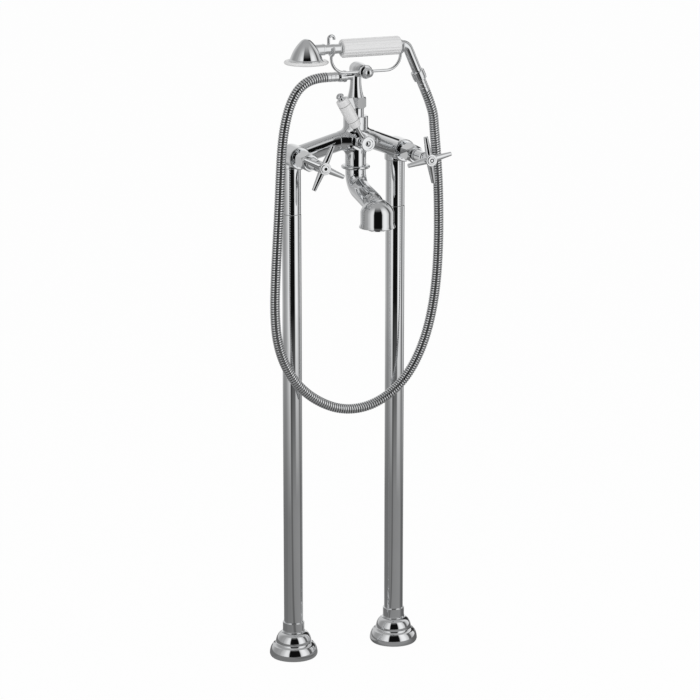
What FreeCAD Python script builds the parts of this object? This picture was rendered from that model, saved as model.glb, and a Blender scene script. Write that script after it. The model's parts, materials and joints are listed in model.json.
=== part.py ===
import FreeCAD, Part
import Sketcher
import math
import os
import re
from FreeCAD import Placement, Rotation, Vector

# Floor standing bath filler: two floor pipes, a wishbone mixer with two cross handles, a swivel
# spout, a diverter lever, a column with a wire cradle, and a handset on a ribbed metal hose.
# Frame: floor at Z 0, the two pipes at X plus and minus half the supply spacing, the front at -Y.
# "Reach" is the distance in front of the plane of the two pipes.

SIZES = {
    # fits between pieces
    "gap": 0.3,
    "fit": 0.05,
    "running": 0.08,
    # floor pipes
    "supply_spacing": 180.0,
    "pipe_radius": 15.5,
    "pipe_wall": 1.5,
    "upper_pipe_radius": 15.2,
    "pipe_joint_height": 737.0,
    "coupling_length": 40.0,
    "coupling_wall": 1.4,
    # floor flanges and what they cover
    "flange_radius": 39.0,
    "flange_rim_height": 7.0,
    "flange_notch_radius": 30.0,
    "flange_notch_height": 24.0,
    "flange_height": 42.0,
    "flange_wall": 3.0,
    "collar_wall": 2.0,
    "collar_height": 16.5,
    "seal_size": 1.2,
    "plate_radius": 33.0,
    "plate_thickness": 4.0,
    "plate_hole_circle": 25.0,
    "plate_hole_radius": 2.6,
    "inlet_bore": 7.5,
    "inlet_thread_radius": 10.5,
    "inlet_length": 60.0,
    # valves
    "valve_drop": 26.0,
    "valve_body_radius": 18.0,
    "valve_body_back": 16.0,
    "valve_body_reach": 38.0,
    "skirt_radius": 17.2,
    "skirt_drop": 20.0,
    "socket_depth": 8.0,
    "headwork_radius": 10.1,
    "headwork_recess": 12.3,
    "headwork_recess_depth": 5.0,
    "neck_radius": 8.6,
    "disc_radius": 10.8,
    "disc_reach": 46.0,
    "disc_thickness": 2.5,
    "bonnet_radius": 15.6,
    "bonnet_length": 31.0,
    "gland_radius": 8.8,
    "gland_reach": 108.0,
    "spindle_radius": 4.0,
    "cartridge_radius": 9.4,
    "cartridge_length": 7.0,
    # cross handles
    "hub_tail": 17.0,
    "spoke_reach": 127.0,
    "hub_nose": 8.5,
    "hub_radius": 9.6,
    "hub_waist_radius": 7.6,
    "spoke_length": 37.5,
    "spoke_tip_radius": 3.4,
    "spoke_root_radius": 5.4,
    "spoke_count": 4,
    "index_radius": 7.0,
    "index_rise": 1.6,
    "left_handle_turn": 64.3,
    "right_handle_turn": 10.7,
    # mixer body
    "body_reach": 46.4,
    "body_height": 857.0,
    "body_neck_radius": 16.6,
    "body_neck_drop": 45.7,
    "body_boss_radius": 19.5,
    "body_boss_rise": 37.8,
    "barrel_radius": 19.5,
    "barrel_end_radius": 14.0,
    "barrel_half_length": 30.0,
    "arm_radius": 15.0,
    "arm_corner": 24.0,
    "arm_bend": 40.0,
    "passage_radius": 8.0,
    "arm_meets_reach": 17.0,
    "boss_fillet": 8.0,
    "neck_fillet": 9.0,
    # diverter
    "diverter_face_reach": 66.5,
    "diverter_boss_radius": 14.6,
    "diverter_bonnet_radius": 13.6,
    "diverter_bonnet_length": 12.5,
    "diverter_hub_radius": 8.8,
    "diverter_cap_radius": 11.3,
    "diverter_cap_thickness": 5.6,
    "diverter_spindle_radius": 3.5,
    "lever_reach": 84.5,
    "lever_angle": 30.0,
    "lever_stem_radius": 3.1,
    "lever_core_radius": 2.2,
    "lever_grip_start": 31.5,
    "lever_grip_length": 50.0,
    "lever_grip_foot_radius": 8.0,
    "lever_grip_radius": 10.2,
    "lever_grip_end_radius": 9.7,
    "finial_radius": 6.4,
    "finial_length": 10.5,
    # column and cradle
    "riser_radius": 13.0,
    "riser_wall": 2.2,
    "riser_seat": 16.0,
    "riser_nut_rise": 50.0,
    "riser_nut_length": 17.5,
    "riser_nut_radius": 17.4,
    "stem_radius": 12.4,
    "stem_top_radius": 8.7,
    "stem_collar_radius": 13.6,
    "hub_rise": 111.5,
    "outlet_drop": 10.9,
    "hub_ball_radius": 11.6,
    "hub_ball_back": 38.5,
    "hub_ball_front": 76.0,
    "stud_radius": 3.2,
    "water_bore": 5.5,
    "fork_reach": 82.0,
    "fork_wire_radius": 2.3,
    "fork_bend": 24.0,
    "fork_left": 57.0,
    "fork_right": 60.2,
    "saddle_gap": 0.3,
    "lip_rise": 2.0,
    "prong_rise": 19.0,
    "curl_radius": 4.5,
    "fork_eye_radius": 8.6,
    "fork_eye_thickness": 6.4,
    "knob_radius": 8.2,
    "knob_reach": 94.0,
    # hose and its fittings
    "outlet_neck_radius": 6.2,
    "outlet_nut_radius": 9.3,
    "outlet_nut_start": 17.0,
    "outlet_nut_length": 13.5,
    "ferrule_radius": 7.7,
    "ferrule_neck_radius": 5.9,
    "ferrule_neck_length": 4.6,
    "ferrule_length": 18.7,
    "ferrule_flange_radius": 7.9,
    "washer_thickness": 2.0,
    "hose_radius": 7.9,
    "hose_valley_radius": 6.9,
    "hose_bore_radius": 5.0,
    "hose_rib_count": 180,
    "tail_nut_radius": 10.8,
    "tail_nut_length": 15.0,
    "tail_angle": 24.0,
    # handset
    "handset_rise": 38.0,
    "tube_radius": 7.6,
    "tube_wall": 1.1,
    "core_radius": 5.6,
    "grip_radius": 14.4,
    "grip_edge_radius": 2.5,
    "flute_radius": 4.5,
    "flute_depth": 0.5,
    "flute_count": 18,
    "grip_start": 40.0,
    "grip_length": 97.5,
    "neck_flare_radius": 9.6,
    "end_ring_radius": 8.9,
    "end_ring_length": 4.6,
    "tail_bend": 12.0,
    "tail_corner": 70.2,
    "tail_length": 53.5,
    "tail_spigot_radius": 9.0,
    "rose_reach": 98.7,
    "rose_dome_radius": 25.0,
    "rose_flange_radius": 27.4,
    "rose_drop": 20.5,
    "rose_rise": 18.1,
    "rose_side_arc": 63.4,
    "rose_crown_radius": 8.0,
    "rose_crown_rise": 3.2,
    "rose_wall": 1.8,
    "rose_rim_radius": 34.4,
    "rose_rim_height": 5.4,
    "rose_face_radius": 26.4,
    "rose_face_thickness": 3.0,
    "spray_hole_radius": 0.8,
    "spray_ring_pitch": 5.6,
    # spout
    "ring_radius": 22.8,
    "ring_height": 5.6,
    "spout_radius": 16.3,
    "spout_wall": 2.4,
    "spigot_radius": 12.9,
    "spigot_length": 12.0,
    "spout_projection": 82.2,
    "spout_bend": 28.0,
    "spout_slope": 75.0,
    "spout_drop": 4.5,
    "mouth_drop": 125.5,
    "mouth_radius": 28.4,
    "bell_waist_radius": 26.2,
    "bell_waist_rise": 8.0,
    "bell_shoulder_rise": 25.0,
    "bell_dome_rise": 45.0,
    "bell_wall": 2.2,
    "mouth_bore": 24.6,
    "aerator_radius": 14.3,
    "aerator_drop": 4.6,
    "aerator_bore": 10.5,
}

# Places that follow from the sizes above: their names stand for these formulas.
PLACES = {
    "valve_height": "(body_height - valve_drop)",
    "hub_back": "(spoke_reach - hub_tail)",
    "hub_front": "(spoke_reach + hub_nose)",
    "riser_nut_height": "(body_height + riser_nut_rise)",
    "hub_height": "(body_height + hub_rise)",
    "outlet_height": "(body_height + hub_rise - outlet_drop)",
    "handset_height": "(body_height + hub_rise + handset_rise)",
    "rose_bottom": "(body_height + hub_rise + handset_rise - rose_drop)",
    "rose_top": "(body_height + hub_rise + handset_rise + rose_rise)",
    "mouth_height": "(body_height - mouth_drop)",
}

doc = FreeCAD.newDocument("bath_filler")
sheet = doc.addObject("Spreadsheet::Sheet", "dims")
for row, (alias, size) in enumerate(SIZES.items(), start=1):
    sheet.set("A%d" % row, alias)
    sheet.set("B%d" % row, str(size))
    sheet.setAlias("B%d" % row, alias)
for row, (alias, words) in enumerate(PLACES.items(), start=len(SIZES) + 1):
    sheet.set("A%d" % row, alias)
    sheet.set("B%d" % row, "=" + words)
    sheet.setAlias("B%d" % row, alias)
doc.recompute()

nodes = []


def formula(words):
    """Turn a formula in size names into one that reads the size sheet."""
    def from_sheet(found):
        name = found.group()
        return "dims." + name if name in SIZES or name in PLACES else name
    return re.sub(r"[a-z_]+", from_sheet, str(words))


def number(words):
    """The present value of a formula."""
    return float(sheet.evalExpression(formula(words)))


def bind(target, prop, words):
    """Tie a property to a formula."""
    target.setExpression(prop, formula(words))


def finished(label, piece):
    """Name a finished piece and keep it for writing."""
    piece.Label = label
    nodes.append(piece)
    return piece


def place(body, at, turn=None):
    """Put a body at three formulas, after an optional turn."""
    spot = Vector(number(at[0]), number(at[1]), number(at[2]))
    body.Placement = Placement(spot, turn or Rotation())
    for axis, words in zip("xyz", at):
        bind(body, "Placement.Base." + axis, words)


def new_body(name, at=("0", "0", "0"), turn=None):
    body = doc.addObject("PartDesign::Body", name)
    place(body, at, turn)
    return body


def origin_feature(body, role):
    for feature in body.Origin.OriginFeatures:
        if feature.Role == role:
            return feature
    return None


def new_sketch(body, name, plane, shift=("0", "0", "0"), tilt=None):
    """A sketch on one of the body's own origin planes, shifted in that plane's frame."""
    sketch = body.newObject("Sketcher::SketchObject", name)
    sketch.AttachmentSupport = (origin_feature(body, plane), [""])
    sketch.MapMode = "FlatFace"
    spot = Vector(number(shift[0]), number(shift[1]), number(shift[2]))
    sketch.AttachmentOffset = Placement(spot, tilt or Rotation())
    for axis, words in zip("xyz", shift):
        if words != "0":
            bind(sketch, "AttachmentOffset.Base." + axis, words)
    return sketch


def pin(sketch, geometry, end, across, up):
    """Fix one end of a line or arc at two formulas."""
    for kind, axis, words in (("DistanceX", -2, across), ("DistanceY", -1, up)):
        if str(words) == "0":
            sketch.addConstraint(Sketcher.Constraint("PointOnObject", geometry, end, axis))
        else:
            index = sketch.addConstraint(
                Sketcher.Constraint(kind, -1, 1, geometry, end, number(words)))
            bind(sketch, "Constraints[%d]" % index, words)


def arc_between(start, end, radius, side):
    """A short arc of a given radius; side 1 bulges to the left of the way from start to end."""
    half = (end - start).Length / 2
    left = Vector(start.y - end.y, end.x - start.x, 0).normalize()
    centre = (start + end) * 0.5 - left * (side * math.sqrt(max(radius * radius - half * half, 0)))
    first, last = (end, start) if side == 1 else (start, end)
    begins = math.atan2(first.y - centre.y, first.x - centre.x)
    stops = math.atan2(last.y - centre.y, last.x - centre.x)
    if stops < begins:
        stops = stops + 2 * math.pi
    return Part.ArcOfCircle(Part.Circle(centre, Vector(0, 0, 1), radius), begins, stops)


def draw_outline(sketch, points, closed=True):
    """Lines and arcs through points of two formulas; a point may add (radius, side) for its arc."""
    spots = [Vector(number(point[0]), number(point[1]), 0) for point in points]
    count = len(points) if closed else len(points) - 1
    ends = []
    for index in range(count):
        start = spots[index]
        following = (index + 1) % len(points)
        end = spots[following]
        bend = points[following][2:]
        if bend:
            geometry = sketch.addGeometry(arc_between(start, end, number(bend[0]), bend[1]))
            ends.append((geometry, 2, 1) if bend[1] == 1 else (geometry, 1, 2))
        else:
            geometry = sketch.addGeometry(Part.LineSegment(start, end))
            ends.append((geometry, 1, 2))
    for index, (geometry, first, last) in enumerate(ends):
        pin(sketch, geometry, first, points[index][0], points[index][1])
        if closed or index + 1 < len(ends):
            after = ends[(index + 1) % len(ends)]
            sketch.addConstraint(Sketcher.Constraint("Coincident", geometry, last, after[0], after[1]))
        else:
            pin(sketch, geometry, last, points[-1][0], points[-1][1])
    for index, (geometry, first, last) in enumerate(ends):
        bend = points[(index + 1) % len(points)][2:]
        if bend:
            held = sketch.addConstraint(Sketcher.Constraint("Radius", geometry, number(bend[0])))
            bind(sketch, "Constraints[%d]" % held, bend[0])


def draw_circle(sketch, radius, across="0", up="0"):
    """A circle of a given radius about two formulas."""
    middle = Vector(number(across), number(up), 0)
    geometry = sketch.addGeometry(Part.Circle(middle, Vector(0, 0, 1), number(radius)))
    if across == "0" and up == "0":
        sketch.addConstraint(Sketcher.Constraint("Coincident", geometry, 3, -1, 1))
    else:
        pin(sketch, geometry, 3, across, up)
    held = sketch.addConstraint(Sketcher.Constraint("Radius", geometry, number(radius)))
    bind(sketch, "Constraints[%d]" % held, radius)


def revolve(body, name, points, plane="XZ_Plane", axis="V_Axis", cut=False, shift=("0", "0", "0")):
    """Turn an outline of (radius, height) points about a sketch axis, as metal or as a cut."""
    sketch = new_sketch(body, name + "_outline", plane, shift)
    draw_outline(sketch, points)
    kind = "PartDesign::Groove" if cut else "PartDesign::Revolution"
    feature = body.newObject(kind, name)
    feature.Profile = sketch
    feature.ReferenceAxis = (sketch, [axis])
    feature.Angle = 360.0
    return feature


def extrude(body, name, sketch, length, cut=False, back=False, middle=False):
    """Pad or pocket a sketch."""
    feature = body.newObject("PartDesign::Pocket" if cut else "PartDesign::Pad", name)
    feature.Profile = sketch
    bind(feature, "Length", length)
    feature.Reversed = back
    if middle:
        feature.SideType = "Symmetric"
    return feature


def ring_pattern(body, name, feature, axis, count):
    """Repeat a feature round one of the body's own axes."""
    pattern = body.newObject("PartDesign::PolarPattern", name)
    pattern.Originals = [feature]
    pattern.Axis = (origin_feature(body, axis), [""])
    pattern.Angle = 360.0
    bind(pattern, "Occurrences", count)
    body.Tip = pattern
    return pattern


def bent_path(sketch, corners, bends):
    """Draw straight runs joined by tangent arcs, from corner points of two formulas."""
    spots = [Vector(number(corner[0]), number(corner[1]), 0) for corner in corners]
    trims = []
    for index, bend in enumerate(bends):
        before = (spots[index] - spots[index + 1]).normalize()
        after = (spots[index + 2] - spots[index + 1]).normalize()
        half_turn = (math.pi - before.getAngle(after)) / 2
        trims.append((number(bend) * math.tan(half_turn), before, after, number(bend)))
    runs = []
    for index in range(len(spots) - 1):
        start = spots[index]
        end = spots[index + 1]
        if index > 0:
            start = start + trims[index - 1][2] * trims[index - 1][0]
        if index < len(trims):
            end = end + trims[index][1] * trims[index][0]
        runs.append(sketch.addGeometry(Part.LineSegment(start, end)))
    pin(sketch, runs[0], 1, *corners[0])
    pin(sketch, runs[-1], 2, *corners[-1])
    for index, (trim, before, after, radius) in enumerate(trims):
        corner = spots[index + 1]
        side = 1 if before.cross(after).z > 0 else -1
        arc = sketch.addGeometry(
            arc_between(corner + before * trim, corner + after * trim, radius, side))
        first, last = (2, 1) if side == 1 else (1, 2)
        sketch.addConstraint(Sketcher.Constraint("Tangent", runs[index], 2, arc, first))
        sketch.addConstraint(Sketcher.Constraint("Tangent", arc, last, runs[index + 1], 1))
        held = sketch.addConstraint(Sketcher.Constraint("Radius", arc, radius))
        bind(sketch, "Constraints[%d]" % held, bends[index])
        mark = sketch.addGeometry(Part.Point(corner), True)
        pin(sketch, mark, 1, *corners[index + 1])
        sketch.addConstraint(Sketcher.Constraint("PointOnObject", mark, 1, runs[index]))
        sketch.addConstraint(Sketcher.Constraint("PointOnObject", mark, 1, runs[index + 1]))
    return len(spots) - 1 + len(trims)


def sweep(body, name, profile, spine, cut=False):
    """Carry a profile along every edge of a spine sketch."""
    feature = body.newObject("PartDesign::SubtractivePipe" if cut else "PartDesign::AdditivePipe", name)
    feature.Profile = profile
    edges = ["Edge%d" % (index + 1) for index in range(spine.GeometryCount - spine_marks(spine))]
    feature.Spine = (spine, edges)
    return feature


def spine_marks(spine):
    """How many of a sketch's shapes are only construction marks."""
    return sum(1 for index in range(spine.GeometryCount) if spine.getConstruction(index))


def turned(label, points, at=("0", "0", "0"), turn=None):
    """A round piece turned from one outline."""
    body = new_body(label, at, turn)
    revolve(body, label + "_turning", points)
    return finished(label, body)


def cap_round(radius, rise):
    """Radius of a round cap of a given edge radius and rise, centred on the axis."""
    return "(((%s) ^ 2 + (%s) ^ 2) / (2 * (%s)))" % (radius, rise, rise)


def hexagon(radius):
    """Six corners of a hexagon of a given corner radius."""
    return [("%s * cos(%d)" % (radius, 30 + 60 * step), "%s * sin(%d)" % (radius, 30 + 60 * step))
            for step in range(6)]


FORWARD = Rotation(Vector(1, 0, 0), 90)       # a turned piece's axis points to the front, -Y
TO_LEFT = Rotation(Vector(0, 1, 0), -90)      # a turned piece's axis points to -X
TO_RIGHT = Rotation(Vector(0, 1, 0), 90)      # a turned piece's axis points to +X
SIDES = (("left", "-"), ("right", ""))


# ---------------------------------------------------------------------------------------------
# Floor pipes

def floor_flange(side, sign):
    """Bell shaped cover: rounded rim, ogee, notch, domed shoulder, open underneath."""
    inner = "(pipe_radius + gap)"
    turned("floor_flange_" + side, [
        ("flange_radius - 2.5", "0"),
        ("flange_radius", "flange_rim_height", "7", -1),
        ("flange_radius - 4.7", "flange_rim_height + 12.6", "24", -1),
        ("flange_notch_radius", "flange_notch_height", "9", 1),
        ("flange_notch_radius - 1", "flange_notch_height + 0.4"),
        ("pipe_radius + 8.7", "flange_height - 4.5", "22", -1),
        ("pipe_radius + 4", "flange_height - 1.2", "14", -1),
        ("pipe_radius + 4", "flange_height"),
        (inner, "flange_height"),
        (inner, "flange_height - flange_wall - 1.5"),
        ("flange_notch_radius - flange_wall - 1.6", "flange_notch_height - 0.5", "24", 1),
        ("flange_radius - flange_wall - 3", "flange_rim_height + 5", "26", 1),
        ("flange_radius - flange_wall - 2.5", "0"),
    ], (sign + "supply_spacing / 2", "0", "0"))


def socket_collar(side, sign):
    """Slip collar that closes the flange round the pipe, with a groove for its seal."""
    outer = "(pipe_radius + collar_wall)"
    inner = "(pipe_radius + fit)"
    top = "(flange_height + collar_height)"
    groove = "(flange_height + collar_height / 2 - seal_size)"
    turned("socket_collar_" + side, [
        (outer + " + 0.5", "flange_height"),
        (outer + " + 0.5", "flange_height + 1.4"),
        (outer, "flange_height + 1.9"),
        (outer, top + " - 0.8"),
        (outer + " - 0.8", top, "0.8", -1),
        (inner, top),
        (inner, groove + " + 2 * seal_size"),
        (inner + " + seal_size", groove + " + 2 * seal_size"),
        (inner + " + seal_size", groove),
        (inner, groove),
        (inner, "flange_height"),
    ], (sign + "supply_spacing / 2", "0", "0"))


def collar_seal(side, sign):
    """Rubber ring in the collar's groove."""
    low = "(flange_height + collar_height / 2 - seal_size + fit)"
    turned("collar_seal_" + side, [
        ("pipe_radius + 2 * fit", low),
        ("pipe_radius + seal_size - fit", low),
        ("pipe_radius + seal_size - fit", low + " + 2 * (seal_size - fit)"),
        ("pipe_radius + 2 * fit", low + " + 2 * (seal_size - fit)"),
    ], (sign + "supply_spacing / 2", "0", "0"))


def floor_plate(side, sign):
    """Fixing plate hidden under the flange: a hole for the inlet and three screw holes."""
    body = new_body("floor_plate_" + side, (sign + "supply_spacing / 2", "0", "0"))
    revolve(body, "plate_" + side, [
        ("inlet_thread_radius + gap", "0"),
        ("plate_radius - 1", "0"),
        ("plate_radius", "1"),
        ("plate_radius", "plate_thickness"),
        ("inlet_thread_radius + gap", "plate_thickness"),
    ])
    sketch = new_sketch(body, "screw_hole_" + side, "XY_Plane")
    draw_circle(sketch, "plate_hole_radius", "0", "plate_hole_circle")
    hole = extrude(body, "screw_holes_" + side, sketch, "plate_thickness", cut=True, back=True)
    ring_pattern(body, "screw_circle_" + side, hole, "Z_Axis", "3")
    finished("floor_plate_" + side, body)


def inlet_tail(side, sign):
    """Threaded inlet that rises from the floor into the pipe and centres it."""
    turned("inlet_tail_" + side, [
        ("inlet_bore", "0"),
        ("inlet_thread_radius - 0.8", "0"),
        ("inlet_thread_radius", "0.8"),
        ("inlet_thread_radius", "plate_thickness"),
        ("pipe_radius - pipe_wall - fit", "plate_thickness"),
        ("pipe_radius - pipe_wall - fit", "inlet_length / 2"),
        ("inlet_thread_radius", "inlet_length / 2 + 3"),
        ("inlet_thread_radius", "inlet_length"),
        ("inlet_bore", "inlet_length"),
    ], (sign + "supply_spacing / 2", "0", "0"))


def lower_pipe(side, sign):
    """Long floor pipe, standing on the fixing plate."""
    turned("lower_pipe_" + side, [
        ("pipe_radius - pipe_wall", "plate_thickness"),
        ("pipe_radius", "plate_thickness"),
        ("pipe_radius", "pipe_joint_height - 0.5"),
        ("pipe_radius - 0.5", "pipe_joint_height"),
        ("pipe_radius - pipe_wall", "pipe_joint_height"),
    ], (sign + "supply_spacing / 2", "0", "0"))


def upper_pipe(side, sign):
    """Short pipe between the joint and the valve body."""
    top = "valve_height - skirt_drop + socket_depth"
    turned("upper_pipe_" + side, [
        ("pipe_radius - pipe_wall", "pipe_joint_height + gap"),
        ("upper_pipe_radius - 0.4", "pipe_joint_height + gap"),
        ("upper_pipe_radius", "pipe_joint_height + gap + 0.4"),
        ("upper_pipe_radius", top),
        ("pipe_radius - pipe_wall", top),
    ], (sign + "supply_spacing / 2", "0", "0"))


def pipe_coupling(side, sign):
    """Sleeve inside the joint of the two pipes."""
    outer = "(pipe_radius - pipe_wall - fit)"
    turned("pipe_coupling_" + side, [
        (outer + " - coupling_wall", "pipe_joint_height - coupling_length / 2"),
        (outer, "pipe_joint_height - coupling_length / 2"),
        (outer, "pipe_joint_height + coupling_length / 2"),
        (outer + " - coupling_wall", "pipe_joint_height + coupling_length / 2"),
    ], (sign + "supply_spacing / 2", "0", "0"))


# ---------------------------------------------------------------------------------------------
# Valves

def valve_body(side, sign):
    """Round housing across the top of a pipe: domed back, open front, skirt over the pipe."""
    body = new_body("valve_body_" + side, (sign + "supply_spacing / 2", "0", "valve_height"))
    revolve(body, "housing_" + side, [
        ("valve_body_back", "0"),
        ("-valve_body_reach", "0"),
        ("-valve_body_reach", "valve_body_radius - 2.2"),
        ("-valve_body_reach + 2.2", "valve_body_radius", "2.2", 1),
        ("0", "valve_body_radius"),
        ("valve_body_back", "6", "20", 1),
    ], plane="YZ_Plane", axis="H_Axis")
    revolve(body, "skirt_" + side, [
        ("0", "-skirt_drop"),
        ("skirt_radius - 0.8", "-skirt_drop"),
        ("skirt_radius", "-skirt_drop + 0.8"),
        ("skirt_radius", "0"),
        ("0", "0"),
    ])
    revolve(body, "pipe_socket_" + side, [
        ("0", "-skirt_drop"),
        ("upper_pipe_radius + fit", "-skirt_drop"),
        ("upper_pipe_radius + fit", "-skirt_drop + socket_depth + fit"),
        ("passage_radius", "-skirt_drop + socket_depth + fit"),
        ("passage_radius", "0"),
        ("0", "0"),
    ], cut=True)
    revolve(body, "headwork_seat_" + side, [
        ("-valve_body_reach", "0"),
        ("-valve_body_reach", "headwork_recess"),
        ("-valve_body_reach + headwork_recess_depth", "headwork_recess"),
        ("-valve_body_reach + headwork_recess_depth", "headwork_radius + fit"),
        ("4", "headwork_radius + fit"),
        ("4", "0"),
    ], plane="YZ_Plane", axis="H_Axis", cut=True)
    sketch = new_sketch(body, "side_port_" + side, "YZ_Plane")
    draw_circle(sketch, "passage_radius - 1", "-arm_meets_reach", "0")
    extrude(body, "side_passage_" + side, sketch, "valve_body_radius + 1", cut=True, back=(side == "left"))
    finished("valve_body_" + side, body)


def headwork(side, sign):
    """Brass headwork: thread, thin disc, hexagon bonnet, gland, bored for the spindle."""
    at = (sign + "supply_spacing / 2", "0", "valve_height")
    body = new_body("headwork_" + side, at, FORWARD)
    hex_start = "(disc_reach + disc_thickness)"
    hex_end = "(disc_reach + disc_thickness + bonnet_length)"
    sketch = new_sketch(body, "bonnet_hexagon_" + side, "XY_Plane", ("0", "0", hex_start))
    draw_outline(sketch, hexagon("bonnet_radius"))
    extrude(body, "bonnet_" + side, sketch, "bonnet_length")
    revolve(body, "bonnet_chamfer_" + side, [
        ("bonnet_radius - 3.4", hex_end + " + 0.01"),
        ("bonnet_radius + 1", hex_end + " + 0.01"),
        ("bonnet_radius + 1", hex_end + " - 9"),
        ("bonnet_radius", hex_end + " - 9"),
    ], cut=True)
    revolve(body, "bonnet_back_chamfer_" + side, [
        ("bonnet_radius - 1.6", hex_start + " - 0.01"),
        ("bonnet_radius + 1", hex_start + " - 0.01"),
        ("bonnet_radius + 1", hex_start + " + 2"),
        ("bonnet_radius", hex_start + " + 2"),
    ], cut=True)
    revolve(body, "thread_and_gland_" + side, [
        ("0", "cartridge_length + 1"),
        ("headwork_radius", "cartridge_length + 1"),
        ("headwork_radius", "valve_body_reach - headwork_recess_depth"),
        ("neck_radius", "valve_body_reach - headwork_recess_depth"),
        ("neck_radius", "disc_reach"),
        ("disc_radius - 0.6", "disc_reach"),
        ("disc_radius", "disc_reach + 0.6", "0.6", -1),
        ("disc_radius", hex_start + " - 0.4"),
        ("disc_radius - 0.6", hex_start + " + 0.2", "0.6", -1),
        ("disc_radius - 0.6", hex_end),
        ("gland_radius", hex_end + " + 5", "7", -1),
        ("gland_radius", "gland_reach - 1"),
        ("gland_radius - 1", "gland_reach"),
        ("0", "gland_reach"),
    ])
    revolve(body, "spindle_bore_" + side, [
        ("0", "cartridge_length"),
        ("spindle_radius + 2.4", "cartridge_length"),
        ("spindle_radius + 2.4", "cartridge_length + 9"),
        ("spindle_radius + running", "cartridge_length + 9"),
        ("spindle_radius + running", "gland_reach + 1"),
        ("0", "gland_reach + 1"),
    ], cut=True)
    finished("headwork_" + side, body)


def valve_cartridge(side, sign):
    """Ceramic disc pair at the foot of the headwork."""
    at = (sign + "supply_spacing / 2", "0", "valve_height")
    body = new_body("valve_cartridge_" + side, at, FORWARD)
    revolve(body, "discs_" + side, [
        ("0", "1"),
        ("cartridge_radius", "1"),
        ("cartridge_radius", "cartridge_length - fit"),
        ("0", "cartridge_length - fit"),
    ])
    sketch = new_sketch(body, "disc_port_" + side, "XY_Plane")
    draw_circle(sketch, "cartridge_radius / 4", "cartridge_radius / 2", "0")
    port = extrude(body, "disc_ports_" + side, sketch, "cartridge_length", cut=True, back=True)
    ring_pattern(body, "disc_port_pair_" + side, port, "Z_Axis", "2")
    finished("valve_cartridge_" + side, body)


def spindle(side, sign):
    """Turning spindle between the ceramic discs and the handle."""
    turned("spindle_" + side, [
        ("0", "cartridge_length + gap"),
        ("spindle_radius + 2", "cartridge_length + gap"),
        ("spindle_radius + 2", "cartridge_length + 9 - gap"),
        ("spindle_radius", "cartridge_length + 9 - gap"),
        ("spindle_radius", "spoke_reach - 2.4"),
        ("spindle_radius - 0.8", "spoke_reach - 1.6"),
        ("0", "spoke_reach - 1.6"),
    ], (sign + "supply_spacing / 2", "0", "valve_height"), FORWARD)


def cross_handle(side, sign):
    """Cross handle: waisted hub, four tapered spokes, front seat for the index button."""
    turn = Rotation(Vector(0, -1, 0), number(side + "_handle_turn")) * FORWARD
    at = (sign + "supply_spacing / 2", "0", "valve_height")
    body = new_body("cross_handle_" + side, at, turn)
    revolve(body, "hub_" + side, [
        ("0", "hub_back"),
        ("hub_waist_radius", "hub_back"),
        ("hub_waist_radius", "hub_back + 2"),
        ("hub_waist_radius - 0.7", "hub_back + 2.6"),
        ("hub_radius - 1.4", "spoke_reach - spoke_root_radius", "26", -1),
        ("hub_radius - 1.4", "spoke_reach + spoke_root_radius - 1"),
        ("hub_radius", "spoke_reach + spoke_root_radius", "1.4", -1),
        ("hub_radius", "hub_front - 1"),
        ("hub_radius - 1", "hub_front", "1", -1),
        ("0", "hub_front"),
    ])
    spoke = revolve(body, "spoke_" + side, [
        ("spindle_radius + 1", "0"),
        ("spindle_radius + 1", "spoke_root_radius"),
        ("hub_radius - 1", "spoke_root_radius"),
        ("spoke_length - 0.8", "spoke_tip_radius"),
        ("spoke_length", "spoke_tip_radius - 0.8", "0.8", 1),
        ("spoke_length", "0"),
    ], axis="H_Axis", shift=("0", "spoke_reach", "0"))
    ring_pattern(body, "spokes_" + side, spoke, "Z_Axis", "spoke_count")
    revolve(body, "hub_bore_" + side, [
        ("0", "hub_back"),
        ("spindle_radius + fit", "hub_back"),
        ("spindle_radius + fit", "spoke_reach - 1.5"),
        ("2.6", "spoke_reach - 1.5"),
        ("2.6", "hub_front - 1.7"),
        ("index_radius + fit", "hub_front - 1.7"),
        ("index_radius + fit", "hub_front"),
        ("0", "hub_front"),
    ], cut=True)
    finished("cross_handle_" + side, body)


def index_button(side, sign):
    """Button that closes the hub: raised rim, sunk face, shank that holds the handle."""
    turned("index_button_" + side, [
        ("0", "spoke_reach + 1"),
        ("2.5", "spoke_reach + 1"),
        ("2.5", "hub_front - 1.7 + fit"),
        ("index_radius", "hub_front - 1.7 + fit"),
        ("index_radius", "hub_front + index_rise - 0.7"),
        ("index_radius - 0.7", "hub_front + index_rise", "0.7", -1),
        ("index_radius - 1.7", "hub_front + index_rise"),
        ("index_radius - 2.2", "hub_front + index_rise - 0.6"),
        ("0", "hub_front + index_rise - 0.6"),
    ], (sign + "supply_spacing / 2", "0", "valve_height"), FORWARD)


# ---------------------------------------------------------------------------------------------
# Mixer body

def meeting_edges(shape, above):
    """Names of the edges where the column leaves the cross barrel, above or below its axis."""
    names = []
    near = number("barrel_half_length - 2")
    for index, edge in enumerate(shape.Edges, start=1):
        free_curve = edge.Curve.TypeId == "Part::GeomBSplineCurve"
        box = edge.BoundBox
        spot = edge.valueAt((edge.FirstParameter + edge.LastParameter) / 2)
        off_axis = math.hypot(spot.x, spot.z) - number("diverter_boss_radius")
        on_boss = spot.y < 0 and abs(off_axis) < 0.05
        in_reach = max(-box.XMin, box.XMax) < near
        if free_curve and not on_boss and in_reach and (box.Center.z > 0) == above:
            names.append("Edge%d" % index)
    return names


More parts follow.
